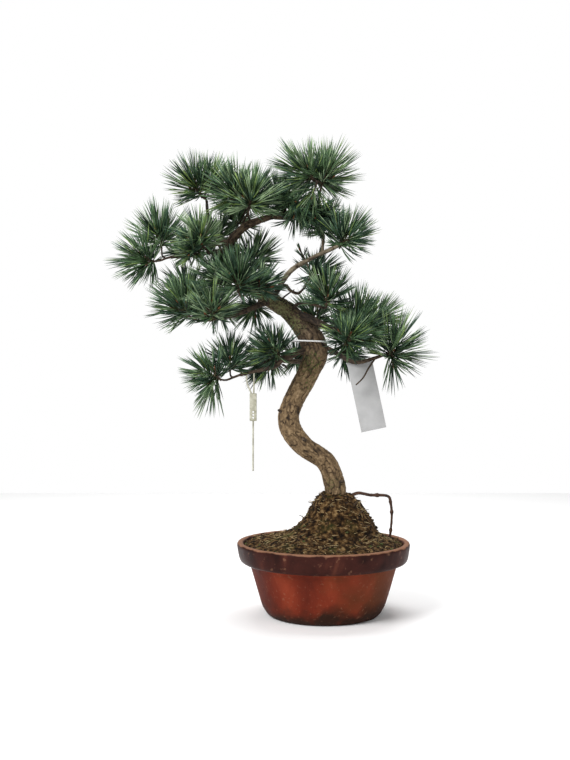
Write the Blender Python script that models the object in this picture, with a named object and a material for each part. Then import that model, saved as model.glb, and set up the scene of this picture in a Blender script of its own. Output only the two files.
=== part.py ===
"""A japanese white pine bonsai in a round clay nursery pot, made as separate solids.

Metres, +Z up, +X to the right and -Y towards the viewer. The origin is the middle of the pot's flat underside.
"""

import math
import random

import bmesh
import bpy
import numpy as np
from mathutils import Vector
from mathutils.bvhtree import BVHTree

# Clearance between pieces that touch on the real plant
GAP = 0.0003

# The pot: its turned outline as (radius, height), from the middle of the underside up and down inside
POT_SIDES = 32
POT_OUTSIDE = (
    (0.0735, 0.0000),
    (0.0785, 0.0035),
    (0.0830, 0.0100),
    (0.0868, 0.0180),
    (0.1022, 0.0705),
    (0.1120, 0.0725),
    (0.1165, 0.0770),
    (0.1200, 0.0950),
    (0.1192, 0.0985),
    (0.1170, 0.1000),
    (0.1130, 0.1000),
    (0.1102, 0.0982),
)
POT_INSIDE = (
    (0.1085, 0.0900),
    (0.0960, 0.0680),
    (0.0790, 0.0100),
)
POT_FLOOR = 0.0100

# The soil: rings of its heaped top as (centre x, radius, height), from the pot's wall to the trunk's collar
SOIL_RINGS = (
    (0.000, 0.1040, 0.0985),
    (0.004, 0.0900, 0.1020),
    (0.010, 0.0720, 0.1070),
    (0.016, 0.0585, 0.1150),
    (0.020, 0.0460, 0.1320),
    (0.019, 0.0345, 0.1500),
    (0.018, 0.0240, 0.1630),
    (0.017, 0.0182, 0.1685),
)
SOIL_BUMP = 0.0018
SOCKET_HEIGHTS = (0.1680, 0.1450)
SOCKET_CLEARANCE = 0.0006
GROUND = 0.0960

# The trunk's bends as (x, y, z, radius), from the flat cut at its flared foot to its tip
TRUNK_BENDS = (
    (0.019, 0.000, GROUND + GAP, 0.0260),
    (0.017, 0.000, 0.150, 0.0166),
    (0.015, -0.002, 0.180, 0.0143),
    (0.002, -0.006, 0.211, 0.0134),
    (-0.028, -0.010, 0.232, 0.0136),
    (-0.046, -0.010, 0.258, 0.0145),
    (-0.044, -0.006, 0.286, 0.0140),
    (-0.020, 0.004, 0.334, 0.0152),
    (-0.011, 0.006, 0.358, 0.0180),
    (-0.018, 0.006, 0.383, 0.0168),
    (-0.046, 0.003, 0.415, 0.0125),
    (-0.085, 0.014, 0.442, 0.0096),
    (-0.123, 0.030, 0.478, 0.0082),
    (-0.133, 0.026, 0.506, 0.0072),
    (-0.111, 0.010, 0.533, 0.0058),
    (-0.074, 0.004, 0.547, 0.0042),
    (-0.053, 0.008, 0.548, 0.0028),
)
TRUNK_RINGS = 38
TRUNK_SIDES = 12

# The boughs and twigs: radius at the foot and at the tip, then the bends from inside the parent limb outwards
LIMB_RINGS = 8
LIMB_SIDES = 6
LIMBS = {
    "bough_high_right": (0.0036, 0.0024, (
        (-0.069, 0.004, 0.437), (-0.046, -0.004, 0.471), (-0.019, -0.012, 0.487),
        (0.008, -0.020, 0.499), (0.020, -0.024, 0.504))),
    "bough_right_leader": (0.0023, 0.0020, (
        (-0.002, -0.017, 0.494), (-0.001, -0.012, 0.508), (0.000, -0.008, 0.520))),
    "twig_curly": (0.0025, 0.0017, (
        (-0.072, 0.006, 0.430), (-0.060, -0.013, 0.446), (-0.052, -0.015, 0.451),
        (-0.045, -0.014, 0.444), (-0.035, -0.008, 0.441), (-0.027, 0.000, 0.448))),
    "twig_middle": (0.0024, 0.0018, (
        (-0.047, 0.003, 0.414), (-0.035, -0.014, 0.426), (-0.015, -0.020, 0.425), (-0.004, -0.024, 0.421))),
    "bough_right": (0.0062, 0.0038, (
        (-0.046, 0.003, 0.414), (-0.021, -0.010, 0.407), (0.012, -0.020, 0.390), (0.022, -0.025, 0.384))),
    "bough_low_right": (0.0036, 0.0022, (
        (-0.014, 0.006, 0.378), (0.020, 0.002, 0.358), (0.037, 0.000, 0.348),
        (0.053, -0.002, 0.347), (0.088, -0.006, 0.358))),
    "twig_bare": (0.0013, 0.0009, (
        (0.072, -0.004, 0.353), (0.061, -0.010, 0.337), (0.054, -0.012, 0.325), (0.044, -0.013, 0.315))),
    "bough_low_left": (0.0042, 0.0024, (
        (-0.012, 0.006, 0.366), (-0.049, -0.008, 0.355), (-0.066, -0.012, 0.341),
        (-0.084, -0.014, 0.336), (-0.114, -0.017, 0.329))),
    "bough_middle_left": (0.0042, 0.0028, (
        (-0.070, 0.009, 0.433), (-0.098, -0.014, 0.420), (-0.122, -0.024, 0.410), (-0.143, -0.030, 0.405))),
    "bough_far_left": (0.0032, 0.0022, (
        (-0.133, 0.026, 0.506), (-0.163, 0.010, 0.498), (-0.190, 0.002, 0.493), (-0.209, -0.006, 0.491))),
    "bough_upper_left": (0.0032, 0.0022, (
        (-0.131, 0.024, 0.514), (-0.150, 0.024, 0.522), (-0.159, 0.018, 0.541), (-0.162, 0.012, 0.572))),
    "bough_back_right": (0.0042, 0.0026, (
        (-0.030, 0.004, 0.398), (-0.012, 0.040, 0.400), (0.012, 0.068, 0.396))),
    "bough_back_left": (0.0036, 0.0024, (
        (-0.104, 0.022, 0.458), (-0.132, 0.052, 0.452), (-0.165, 0.075, 0.440))),
    "bough_back_low": (0.0040, 0.0026, (
        (-0.013, 0.005, 0.346), (-0.030, 0.040, 0.348), (-0.055, 0.068, 0.350))),
}

# The masses of needles: the limb or trunk point that each stem starts from, then its tufts. A tuft is the
# place of its bud, the way that it points, how far its needles reach, how wide they spread and how many.
TRUNK_TIP = "trunk"
MASSES = {
    "needles_far_left": ("bough_far_left", (
        ((-0.243, -0.012, 0.486), (-0.85, -0.15, 0.10), 0.056, 118, 40),
        ((-0.226, 0.010, 0.519), (-0.15, 0.10, 1.00), 0.060, 88, 38))),
    "needles_upper_left": ("bough_upper_left", (
        ((-0.174, 0.008, 0.588), (-0.40, -0.10, 0.90), 0.058, 105, 40),
        ((-0.156, 0.024, 0.596), (0.45, 0.35, 0.85), 0.052, 95, 36))),
    "needles_inner_left": ((-0.133, 0.026, 0.507), (
        ((-0.167, -0.034, 0.513), (-0.35, -0.35, 0.90), 0.050, 105, 40),)),
    "needles_inner_back": ((-0.128, 0.022, 0.517), (
        ((-0.150, 0.056, 0.524), (0.00, 0.75, 0.75), 0.050, 100, 36),)),
    "needles_crown_centre": ((-0.100, 0.007, 0.538), (
        ((-0.098, -0.026, 0.566), (0.30, -0.25, 0.90), 0.058, 100, 40),
        ((-0.121, -0.018, 0.576), (-0.60, -0.10, 0.80), 0.056, 95, 38))),
    "needles_trunk_tip": (TRUNK_TIP, (
        ((-0.044, 0.010, 0.556), (-0.05, -0.10, 1.00), 0.052, 95, 36),
        ((-0.062, 0.010, 0.572), (-0.45, 0.10, 0.90), 0.050, 90, 32))),
    "needles_crown_right": ("bough_right_leader", (
        ((0.002, 0.012, 0.536), (0.20, 0.40, 0.95), 0.052, 95, 36),
        ((0.003, -0.004, 0.602), (0.45, 0.00, 0.90), 0.060, 95, 40),
        ((-0.024, -0.012, 0.604), (-0.80, -0.10, 0.60), 0.060, 95, 38),
        ((-0.008, 0.032, 0.608), (0.10, 0.75, 0.75), 0.056, 95, 36),
        ((-0.013, -0.022, 0.580), (-0.30, -0.45, -0.85), 0.056, 55, 20))),
    "needles_high_right": ("bough_high_right", (
        ((0.028, -0.030, 0.512), (0.50, -0.25, 0.85), 0.054, 105, 40),)),
    "needles_inner_right": ("twig_curly", (
        ((-0.010, 0.024, 0.470), (0.60, 0.45, 0.45), 0.050, 100, 36),
        ((-0.026, 0.018, 0.492), (-0.40, 0.20, 0.80), 0.026, 80, 14))),
    "needles_middle_right": ("twig_middle", (
        ((0.004, -0.040, 0.433), (0.10, -0.30, 0.95), 0.054, 95, 38),)),
    "needles_right": ("bough_right", (
        ((0.044, -0.014, 0.400), (0.10, 0.05, 1.00), 0.062, 90, 40),
        ((0.072, 0.012, 0.404), (0.75, 0.35, 0.60), 0.052, 100, 38),
        ((0.030, -0.056, 0.376), (0.25, -0.70, 0.50), 0.048, 110, 38))),
    "needles_far_right": ("bough_low_right", (
        ((0.096, -0.010, 0.364), (0.45, -0.10, 0.90), 0.062, 108, 42),
        ((0.094, -0.010, 0.354), (0.05, 0.00, -1.00), 0.052, 30, 9))),
    "needles_under_right": ((-0.011, 0.006, 0.356), (
        ((0.032, 0.034, 0.357), (0.60, 0.60, -0.20), 0.044, 100, 34),)),
    "needles_inner_low_left": ((-0.013, 0.006, 0.370), (
        ((-0.068, -0.036, 0.364), (-0.45, -0.45, 0.80), 0.048, 105, 38),
        ((-0.078, 0.012, 0.344), (-0.60, 0.20, -0.65), 0.044, 90, 30))),
    "needles_low_left": ("bough_low_left", (
        ((-0.152, -0.022, 0.329), (-0.75, -0.15, 0.45), 0.052, 112, 40),
        ((-0.128, -0.004, 0.348), (0.00, 0.20, 1.00), 0.048, 92, 36),
        ((-0.150, -0.024, 0.320), (-0.25, -0.10, -1.00), 0.054, 45, 14))),
    "needles_middle_left": ("bough_middle_left", (
        ((-0.190, -0.024, 0.418), (-0.60, -0.15, 0.75), 0.060, 100, 40),
        ((-0.150, -0.046, 0.414), (0.00, -0.45, 0.90), 0.052, 100, 38),
        ((-0.192, 0.022, 0.450), (-0.40, 0.50, 0.75), 0.048, 95, 36))),
    "needles_centre_front": ((-0.098, 0.019, 0.454), (
        ((-0.114, -0.050, 0.452), (0.05, -0.45, 0.95), 0.056, 100, 40),
        ((-0.140, -0.036, 0.458), (-0.60, -0.30, 0.75), 0.050, 90, 34),
        ((-0.086, -0.036, 0.448), (0.65, -0.25, 0.70), 0.044, 90, 34))),
    "needles_centre": ((-0.131, 0.029, 0.490), (
        ((-0.097, 0.046, 0.496), (0.45, 0.35, 0.85), 0.052, 95, 38),)),
    "needles_elbow": ((-0.080, 0.012, 0.439), (
        ((-0.098, 0.046, 0.424), (-0.35, 0.75, -0.40), 0.044, 105, 34),)),
    "needles_back_centre": ((-0.118, 0.028, 0.472), (
        ((-0.140, 0.100, 0.482), (-0.30, 0.80, 0.55), 0.052, 105, 38),
        ((-0.098, 0.098, 0.462), (0.45, 0.80, 0.35), 0.050, 105, 36))),
    "needles_back_top": ((-0.118, 0.016, 0.528), (
        ((-0.104, 0.038, 0.580), (-0.05, 0.50, 0.90), 0.054, 95, 36),
        ((-0.124, 0.088, 0.556), (-0.15, 0.80, 0.60), 0.054, 105, 38))),
    "needles_back_right": ("bough_back_right", (
        ((0.030, 0.088, 0.400), (0.55, 0.70, 0.50), 0.054, 108, 38),
        ((-0.010, 0.098, 0.416), (-0.45, 0.70, 0.65), 0.052, 105, 38))),
    "needles_back_left": ("bough_back_left", (
        ((-0.190, 0.084, 0.442), (-0.75, 0.50, 0.50), 0.052, 108, 38),
        ((-0.150, 0.108, 0.428), (0.10, 0.90, 0.25), 0.050, 105, 36))),
    "needles_back_low": ("bough_back_low", (
        ((-0.076, 0.088, 0.356), (-0.65, 0.65, 0.50), 0.050, 108, 38),
        ((-0.034, 0.092, 0.352), (0.40, 0.85, 0.35), 0.048, 105, 36))),
}
SEED = 5
SHOOT_BEHIND = 0.012
SHOOT_AHEAD = 0.012
SHOOT_RADIUS = 0.0023
SHOOT_SIDES = 5
SHOOT_WIDTHS = (0.80, 1.00, 1.00, 0.92, 0.78, 0.50)
STEM_RADIUS = 0.0018
TWIG_RADIUS = 0.0014
STRAIGHT_START = 0.0025
STEM_SEARCH = 0.0240
TWIG_SIDES = 3
TWIG_STEPS = 3
TWIG_CHECKS = 12
TWIG_INTO_SHOOT = 0.0048
NEEDLE_RADIUS = 0.0018
NEEDLE_TIP_ANGLE = math.radians(12)
NEEDLE_JITTER = 0.10
NEEDLE_SHORTER = (1.0, 0.86, 0.72, 0.58)

# The dead root that arches from the mound to the soil by the rim
ROOT_RADII = (0.0019, 0.0012)
ROOT_RINGS = 14
ROOT_BENDS = (
    (0.030, 0.004, 0.160), (0.048, 0.008, 0.165), (0.066, 0.012, 0.162), (0.090, 0.018, 0.160),
    (0.095, 0.020, 0.150), (0.097, 0.024, 0.128), (0.094, 0.030, 0.092))

# The blank swing tag: its middle, size and slant, hung behind the low right bough
TAG_MIDDLE = (0.0600, 0.0030, 0.3010)
TAG_SIZE = (0.0355, 0.0008, 0.0985)
TAG_SLANT = math.radians(12)
TAG_KEEP_OUT = 0.6

# The thin plastic tie round the swollen knuckle of the trunk
TIE_MIDDLE = (-0.0280, 0.0060, 0.3755)
TIE_HALF_LENGTH = 0.0275
TIE_HALF_DEPTH = 0.0225
TIE_NUDGE = 0.0001
TIE_SLACK = 0.0006
TIE_RADIUS = 0.0010
TIE_DROP = 0.0010
TIE_STEPS = 22
TIE_SIDES = 5

# The narrow plastic label that hangs by two prongs under the low left bough
LABEL_BODY_MIDDLE = (-0.0962, -0.0160, 0.2850)
LABEL_BODY_SIZE = (0.0100, 0.0032, 0.0380)
LABEL_PRONG_RADIUS = 0.0009
LABEL_RINGS = 5
LABEL_PRONGS = (
    ((-0.1050, -0.0160, 0.3325), (-0.1045, -0.0160, 0.3180), (-0.0975, -0.0160, 0.3020)),
    ((-0.0950, -0.0155, 0.3350), (-0.0952, -0.0160, 0.3180), (-0.0955, -0.0160, 0.3020)),
)
LABEL_TAIL = ((-0.0962, -0.0160, 0.2680), (-0.0963, -0.0160, 0.2300), (-0.0964, -0.0160, 0.1980))

# Base colour, roughness and metallic value of each piece's surface
COLOURS = {
    "pot": ((0.300, 0.085, 0.040), 0.50),
    "soil": ((0.060, 0.042, 0.022), 0.95),
    "bark": ((0.190, 0.130, 0.075), 0.85),
    "dark_bark": ((0.070, 0.050, 0.035), 0.85),
    "needles": ((0.050, 0.120, 0.060), 0.50),
    "card": ((0.780, 0.780, 0.760), 0.55),
    "plastic": ((0.800, 0.800, 0.740), 0.40),
}


def clear_file():
    for thing in list(bpy.data.objects):
        bpy.data.objects.remove(thing, do_unlink=True)


def surface(piece_name, finish):
    """A piece's own Principled BSDF material in the colour of its finish."""
    colour, roughness = COLOURS[finish]
    material = bpy.data.materials.new(piece_name + "_" + finish)
    material.use_nodes = True
    shader = material.node_tree.nodes["Principled BSDF"]
    shader.inputs["Base Color"].default_value = (*colour, 1.0)
    shader.inputs["Roughness"].default_value = roughness
    shader.inputs["Metallic"].default_value = 0.0
    return material


def add_piece(name, points, faces, finish=None):
    mesh = bpy.data.meshes.new(name)
    mesh.from_pydata([tuple(p) for p in points], [], faces)
    mesh.update()
    piece = bpy.data.objects.new(name, mesh)
    bpy.context.scene.collection.objects.link(piece)
    if finish:
        mesh.materials.append(surface(name, finish))
    return piece


def shade_round(piece, angle=math.radians(40)):
    piece.data.shade_smooth()
    piece.data.set_sharp_from_angle(angle=angle)


# Curves

CURVE_STEPS = 16
FINE_STEPS = 240
FINE_SKIP = 8


def smooth_route(bends, count):
    """Points at even lengths along a Catmull-Rom curve through the bends, in any number of dimensions."""
    knots = np.array(bends, dtype=float)
    ends = np.vstack([2 * knots[0] - knots[1], knots, 2 * knots[-1] - knots[-2]])
    fine = []
    for i in range(len(knots) - 1):
        a, b, c, d = ends[i:i + 4]
        for t in np.linspace(0, 1, CURVE_STEPS, endpoint=False):
            fine.append(0.5 * (2 * b + (c - a) * t + (2 * a - 5 * b + 4 * c - d) * t ** 2
                               + (3 * b - a - 3 * c + d) * t ** 3))
    fine.append(knots[-1])
    fine = np.array(fine)
    steps = np.linalg.norm(np.diff(fine[:, :3], axis=0), axis=1)
    along = np.concatenate([[0], np.cumsum(steps)])
    wanted = np.linspace(0, along[-1], count)
    return np.column_stack([np.interp(wanted, along, fine[:, k]) for k in range(fine.shape[1])])


def ring_frames(route):
    """A side vector and an up vector at each point of a route, turned no more than the route bends."""
    tangents = np.gradient(route, axis=0)
    tangents /= np.linalg.norm(tangents, axis=1)[:, None]
    start = np.array((0.0, 0.0, 1.0)) if abs(tangents[0][2]) < 0.8 else np.array((0.0, 1.0, 0.0))
    side = np.cross(tangents[0], start)
    frames = []
    for tangent in tangents:
        side = side - tangent * np.dot(side, tangent)
        side /= np.linalg.norm(side)
        frames.append((side.copy(), np.cross(tangent, side)))
    return frames


def rings_along(route, radii, sides):
    rings = []
    for point, radius, (side, up) in zip(route, radii, ring_frames(route)):
        angles = np.arange(sides) * 2 * math.pi / sides
        rings.append([point + radius * (math.cos(a) * side + math.sin(a) * up) for a in angles])
    return rings


def tube_faces(count, sides, closed=False):
    faces = []
    for i in range(count if closed else count - 1):
        low = i * sides
        high = ((i + 1) % count) * sides
        for k in range(sides):
            after = (k + 1) % sides
            faces.append((low + k, low + after, high + after, high + k))
    if not closed:
        faces.append(tuple(reversed(range(sides))))
        faces.append(tuple(range((count - 1) * sides, count * sides)))
    return faces


def tube(route, radii, sides):
    rings = rings_along(route, radii, sides)
    return [p for ring in rings for p in ring], tube_faces(len(rings), sides)


# What stands in the crown, kept so that whatever grows there can be kept clear of it

class Standing:
    """Finished pieces, as short cones for a quick measure and as their own faces for a close one."""

    def __init__(self):
        self.starts = np.zeros((0, 3))
        self.ends = np.zeros((0, 3))
        self.radii = np.zeros((0, 2))
        self.skins = []

    def add(self, route, radii):
        self.starts = np.vstack([self.starts, route[:-1]])
        self.ends = np.vstack([self.ends, route[1:]])
        self.radii = np.vstack([self.radii, np.column_stack([radii[:-1], radii[1:]])])

    def add_skin(self, points, faces):
        self.skins.append(BVHTree.FromPolygons([tuple(p) for p in points], faces))

    def clearance(self, points):
        """How far each point lies outside the nearest flat-ended cone. Inside one it is negative."""
        points = np.atleast_2d(points)
        axes = self.ends - self.starts
        lengths = np.linalg.norm(axes, axis=1)
        units = axes / lengths[:, None]
        offsets = points[:, None, :] - self.starts[None]
        along = (offsets * units[None]).sum(axis=2)
        across = np.linalg.norm(offsets - along[:, :, None] * units[None], axis=2)
        share = np.clip(along / lengths, 0, 1)
        beside = across - (self.radii[:, 0] * (1 - share) + self.radii[:, 1] * share)
        beyond = np.maximum(np.maximum(-along, along - lengths), 0)
        outside = np.where(beyond > 0, np.hypot(beyond, np.maximum(beside, 0)), beside)
        return outside.min(axis=1)

    def touches(self, ring):
        """True where a ring of points reaches within GAP of a finished piece's faces, or inside it."""
        corners = [Vector(p) for p in ring]
        edges = [(a + b) / 2 for a, b in zip(corners, corners[1:] + corners[:1])]
        inside_cones = self.clearance(np.array(corners + edges)) < 0
        for point, inside in zip(corners + edges, inside_cones):
            for skin in self.skins:
                place, normal, _, distance = skin.find_nearest(point)
                if distance < GAP or (inside and (point - place).dot(normal) < 0):
                    return True
        return False


def first_clear(route, radii, sides, wood):
    """Drop the start of a route that lies inside its parent, up to GAP outside the parent's faces."""
    fine = smooth_route(np.column_stack([route, radii]), FINE_STEPS)
    rings = rings_along(fine[:, :3], fine[:, 3], sides)
    touching = [i for i, ring in enumerate(rings) if wood.touches(ring)]
    return fine[max(touching, default=-1) + 1:]


# Pot and soil

def add_pot():
    outline = (*POT_OUTSIDE, *POT_INSIDE)
    points = []
    for radius, height in outline:
        for k in range(POT_SIDES):
            angle = 2 * math.pi * k / POT_SIDES
            points.append((radius * math.cos(angle), radius * math.sin(angle), height))
    points += [(0, 0, 0), (0, 0, POT_FLOOR)]
    rows = len(outline)
    faces = tube_faces(rows, POT_SIDES)[:-2]
    last = (rows - 1) * POT_SIDES
    for k in range(POT_SIDES):
        after = (k + 1) % POT_SIDES
        faces.append((rows * POT_SIDES, after, k))
        faces.append((rows * POT_SIDES + 1, last + k, last + after))
    shade_round(add_piece("pot", points, faces, "pot"))


def trunk_at(height):
    """Centre x, centre y and radius of the trunk's foot at a height in the mound."""
    route = smooth_route(TRUNK_BENDS, FINE_STEPS)[:FINE_STEPS // 4]
    return tuple(np.interp(height, route[:, 2], route[:, k]) for k in (0, 1, 3))


def add_soil():
    chance = random.Random(SEED)
    wall = [(0, radius - 2 * GAP, height) for radius, height in reversed(POT_INSIDE)]
    wall[0] = (0, wall[0][1], POT_FLOOR + GAP)
    rings = [(x, 0.0, radius, height, 0.0) for x, radius, height in wall]
    rings += [(x, 0.0, radius, height, SOIL_BUMP) for x, radius, height in SOIL_RINGS]
    for height in SOCKET_HEIGHTS:
        x, y, radius = trunk_at(height)
        rings.append((x, y, radius + SOCKET_CLEARANCE, height, 0.0))
    x, y, radius = trunk_at(GROUND + GAP)
    rings.append((x, y, radius + SOCKET_CLEARANCE, GROUND, 0.0))
    points = []
    for x, y, radius, height, bump in rings:
        for k in range(POT_SIDES):
            angle = 2 * math.pi * k / POT_SIDES
            lift = chance.uniform(-bump, bump)
            points.append((x + radius * math.cos(angle), y + radius * math.sin(angle), height + lift))
    shade_round(add_piece("soil", points, tube_faces(len(rings), POT_SIDES), "soil"))


# Trunk and boughs

def add_trunk(wood):
    route = smooth_route(TRUNK_BENDS, TRUNK_RINGS)
    # A level first ring makes the cut at the foot flat
    points, faces = tube(route[:, :3], route[:, 3], TRUNK_SIDES)
    for k in range(TRUNK_SIDES):
        points[k][2] = GROUND + GAP
    shade_round(add_piece("trunk", points, faces, "bark"))
    wood.add(route[:, :3], route[:, 3])
    wood.add_skin(points, faces)
    return {"trunk": route}


def add_limb(name, foot_radius, tip_radius, bends, wood, finish="dark_bark"):
    radii = np.linspace(foot_radius, tip_radius, len(bends))
    route = first_clear(np.array(bends), radii, LIMB_SIDES, wood)
    route = smooth_route(route[::FINE_SKIP], LIMB_RINGS)
    points, faces = tube(route[:, :3], route[:, 3], LIMB_SIDES)
    shade_round(add_piece(name, points, faces, finish))
    wood.add(route[:, :3], route[:, 3])
    wood.add_skin(points, faces)
    return route


# Small things on the tree

def add_root(wood):
    radii = np.linspace(*ROOT_RADII, len(ROOT_BENDS))
    route = smooth_route(np.column_stack([ROOT_BENDS, radii]), FINE_STEPS // 4)
    high = np.array([soil_height(p[0], p[1]) for p in route])
    free = route[route[:, 2] - route[:, 3] > high + GAP]
    route = smooth_route(free, ROOT_RINGS)
    points, faces = tube(route[:, :3], route[:, 3], LIMB_SIDES)
    shade_round(add_piece("dead_root", points, faces, "dark_bark"))
    wood.add(route[:, :3], route[:, 3])


def soil_height(x, y):
    """The highest that the heaped soil can be above a point."""
    best = GROUND
    rings = SOIL_RINGS
    for (xa, ra, za), (xb, rb, zb) in zip(rings, rings[1:]):
        for share in np.linspace(0, 1, 9):
            centre = xa + (xb - xa) * share
            radius = ra + (rb - ra) * share
            if math.hypot(x - centre, y) <= radius:
                best = max(best, za + (zb - za) * share)
    return best + SOIL_BUMP


def add_tag(wood):
    bpy.ops.mesh.primitive_cube_add(size=1)
    piece = bpy.context.object
    piece.name = piece.data.name = "swing_tag"
    piece.scale = TAG_SIZE
    piece.location = TAG_MIDDLE
    piece.rotation_euler = (0, -TAG_SLANT, 0)
    bpy.ops.object.transform_apply(location=True, rotation=True, scale=True)
    piece.data.materials.append(surface("swing_tag", "card"))
    across = np.array((math.cos(TAG_SLANT), 0, math.sin(TAG_SLANT)))
    upwards = np.array((-math.sin(TAG_SLANT), 0, math.cos(TAG_SLANT)))
    strip = TAG_SIZE[0] / 3
    for k in (-1, 0, 1):
        middle = np.array(TAG_MIDDLE) + across * strip * k
        route = np.array([middle - upwards * TAG_SIZE[2] / 2, middle + upwards * TAG_SIZE[2] / 2])
        wood.add(route, np.full(2, strip * TAG_KEEP_OUT))


def tie_route(middle_x):
    angles = np.arange(TIE_STEPS) * 2 * math.pi / TIE_STEPS
    across = middle_x + TIE_HALF_LENGTH * np.cos(angles)
    deep = TIE_MIDDLE[1] + TIE_HALF_DEPTH * np.sin(angles)
    high = TIE_MIDDLE[2] - TIE_DROP * np.cos(angles)
    return angles, np.column_stack([across, deep, high])


def add_tie(wood):
    """A closed loop round the knuckle, moved to the right until its right end is just clear of the bark."""
    middle_x = TIE_MIDDLE[0]
    room = -1
    while room < TIE_RADIUS + TIE_SLACK:
        middle_x += TIE_NUDGE
        angles, route = tie_route(middle_x)
        halfway = (route + np.roll(route, 1, axis=0)) / 2
        room = wood.clearance(np.vstack([route, halfway])).min()
    points = []
    for point, angle in zip(route, angles):
        outwards = Vector((math.cos(angle), math.sin(angle), 0))
        for k in range(TIE_SIDES):
            turn = 2 * math.pi * k / TIE_SIDES
            offset = math.cos(turn) * outwards + Vector((0, 0, math.sin(turn)))
            points.append(Vector(point) + TIE_RADIUS * offset)
    faces = [tuple(reversed(face)) for face in tube_faces(TIE_STEPS, TIE_SIDES, closed=True)]
    shade_round(add_piece("trunk_tie", points, faces, "plastic"))
    closed = np.vstack([route, route[:1]])
    wood.add(closed, np.full(len(closed), TIE_RADIUS))


def add_label(wood):
    pieces = []
    bpy.ops.mesh.primitive_cube_add(size=1)
    body = bpy.context.object
    body.name = body.data.name = "hanging_label"
    body.scale = LABEL_BODY_SIZE
    body.location = LABEL_BODY_MIDDLE
    bpy.ops.object.transform_apply(location=True, rotation=True, scale=True)
    for prong in LABEL_PRONGS:
        radii = np.full(len(prong), LABEL_PRONG_RADIUS)
        route = smooth_route(first_clear(np.array(prong), radii, LIMB_SIDES, wood)[::FINE_SKIP], LABEL_RINGS)
        pieces.append(add_piece("label_part", *tube(route[:, :3], route[:, 3], LIMB_SIDES)))
    tail = smooth_route(LABEL_TAIL, LABEL_RINGS)
    thin = np.full(LABEL_RINGS, LABEL_PRONG_RADIUS)
    pieces.append(add_piece("label_part", *tube(tail, thin, LIMB_SIDES)))
    weld(body, pieces)
    body.data.materials.append(surface("hanging_label", "plastic"))
    middle = np.array(LABEL_BODY_MIDDLE)
    half = np.array((0, 0, LABEL_BODY_SIZE[2] / 2))
    wood.add(np.array([middle - half, middle + half]), np.full(2, LABEL_BODY_SIZE[0] / 2))
    wood.add(tail, thin)
    for prong in LABEL_PRONGS:
        wood.add(np.array(prong), np.full(len(prong), LABEL_PRONG_RADIUS))


# One closed body from many

def weld(base, pieces):
    """Join pieces to a base with one Boolean union, keep the largest closed body and drop what is loose."""
    group = bpy.data.collections.new("to_weld")
    for piece in pieces:
        bpy.context.scene.collection.objects.unlink(piece)
        group.objects.link(piece)
    bpy.context.scene.collection.children.link(group)
    union = base.modifiers.new("union", "BOOLEAN")
    union.operation = "UNION"
    union.operand_type = "COLLECTION"
    union.collection = group
    union.solver = "EXACT"
    bpy.ops.object.select_all(action="DESELECT")
    bpy.context.view_layer.objects.active = base
    base.select_set(True)
    bpy.ops.object.modifier_apply(modifier=union.name)
    for piece in list(group.objects):
        bpy.data.objects.remove(piece, do_unlink=True)
    bpy.data.collections.remove(group)
    keep_largest_body(base.data)


def keep_largest_body(mesh):
    shape = bmesh.new()
    shape.from_mesh(mesh)
    bmesh.ops.triangulate(shape, faces=shape.faces[:])
    left = set(shape.faces)
    bodies = []
    while left:
        edge_of_search = [left.pop()]
        body = set(edge_of_search)
        while edge_of_search:
            face = edge_of_search.pop()
            for edge in face.edges:
                for other in edge.link_faces:
                    if other in left:
                        left.discard(other)
                        body.add(other)
                        edge_of_search.append(other)
        bodies.append(body)
    largest = max(bodies, key=lambda body: sum(face.calc_area() for face in body))
    loose = [face for body in bodies if body is not largest for face in body]
    if loose:
        bmesh.ops.delete(shape, geom=loose, context="FACES")
    shape.to_mesh(mesh)
    shape.free()


# Needles

def unit(vector):
    vector = np.array(vector, dtype=float)
    return vector / np.linalg.norm(vector)


def arc_between(start, start_way, end, end_way, steps):
    """A twig's route that leaves one way and arrives another."""
    reach = np.linalg.norm(np.subtract(end, start)) / 3
    a, b = np.array(start), np.array(start) + unit(start_way) * reach
    c, d = np.array(end) - unit(end_way) * reach, np.array(end)
    share = np.linspace(0, 1, steps + 1)[:, None]
    early = (1 - share) ** 3 * a + 3 * (1 - share) ** 2 * share * b
    return early + 3 * (1 - share) * share ** 2 * c + share ** 3 * d


def shoot_foot(tuft):
    bud, way = tuft[:2]
    return np.array(bud) - unit(way) * SHOOT_BEHIND


def grow_twigs(start, start_way, tufts, wood):
    """One stem to the first tuft, then a twig to each other tuft from the nearest place clear of the wood."""
    lead = start + start_way * STRAIGHT_START
    stem = np.vstack([start, arc_between(lead, start_way, shoot_foot(tufts[0]), tufts[0][1], TWIG_STEPS)])
    routes = [stem]
    for tuft in tufts[1:]:
        foot = shoot_foot(tuft)
        grown = [(route[i], unit(route[i + 1] - route[i])) for route in routes for i in range(1, len(route) - 1)]
        grown += [(route[-1], unit(route[-1] - route[-2])) for route in routes]
        grown.sort(key=lambda node: np.linalg.norm(node[0] - foot))
        for place, heading in grown:
            route = arc_between(place, unit(heading + unit(foot - place)), foot, tuft[1], TWIG_STEPS)
            fine = smooth_route(route, TWIG_CHECKS)
            if wood.clearance(fine).min() >= TWIG_RADIUS + GAP:
                routes.append(route)
                break
        else:
            raise ValueError("a twig can't reach its tuft clear of the wood")
    return routes


def skeleton(routes, tufts):
    """Start and end points of the straight stretches of a mass's twigs and shoots."""
    starts, ends = [], []
    for route in routes:
        starts += list(route[:-1])
        ends += list(route[1:])
    for tuft in tufts:
        bud, way, reach = tuft[:3]
        starts.append(shoot_foot(tuft))
        ends.append(np.array(bud) + unit(way) * (SHOOT_AHEAD + reach * 0.3))
    return np.array(starts), np.array(ends)


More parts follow.
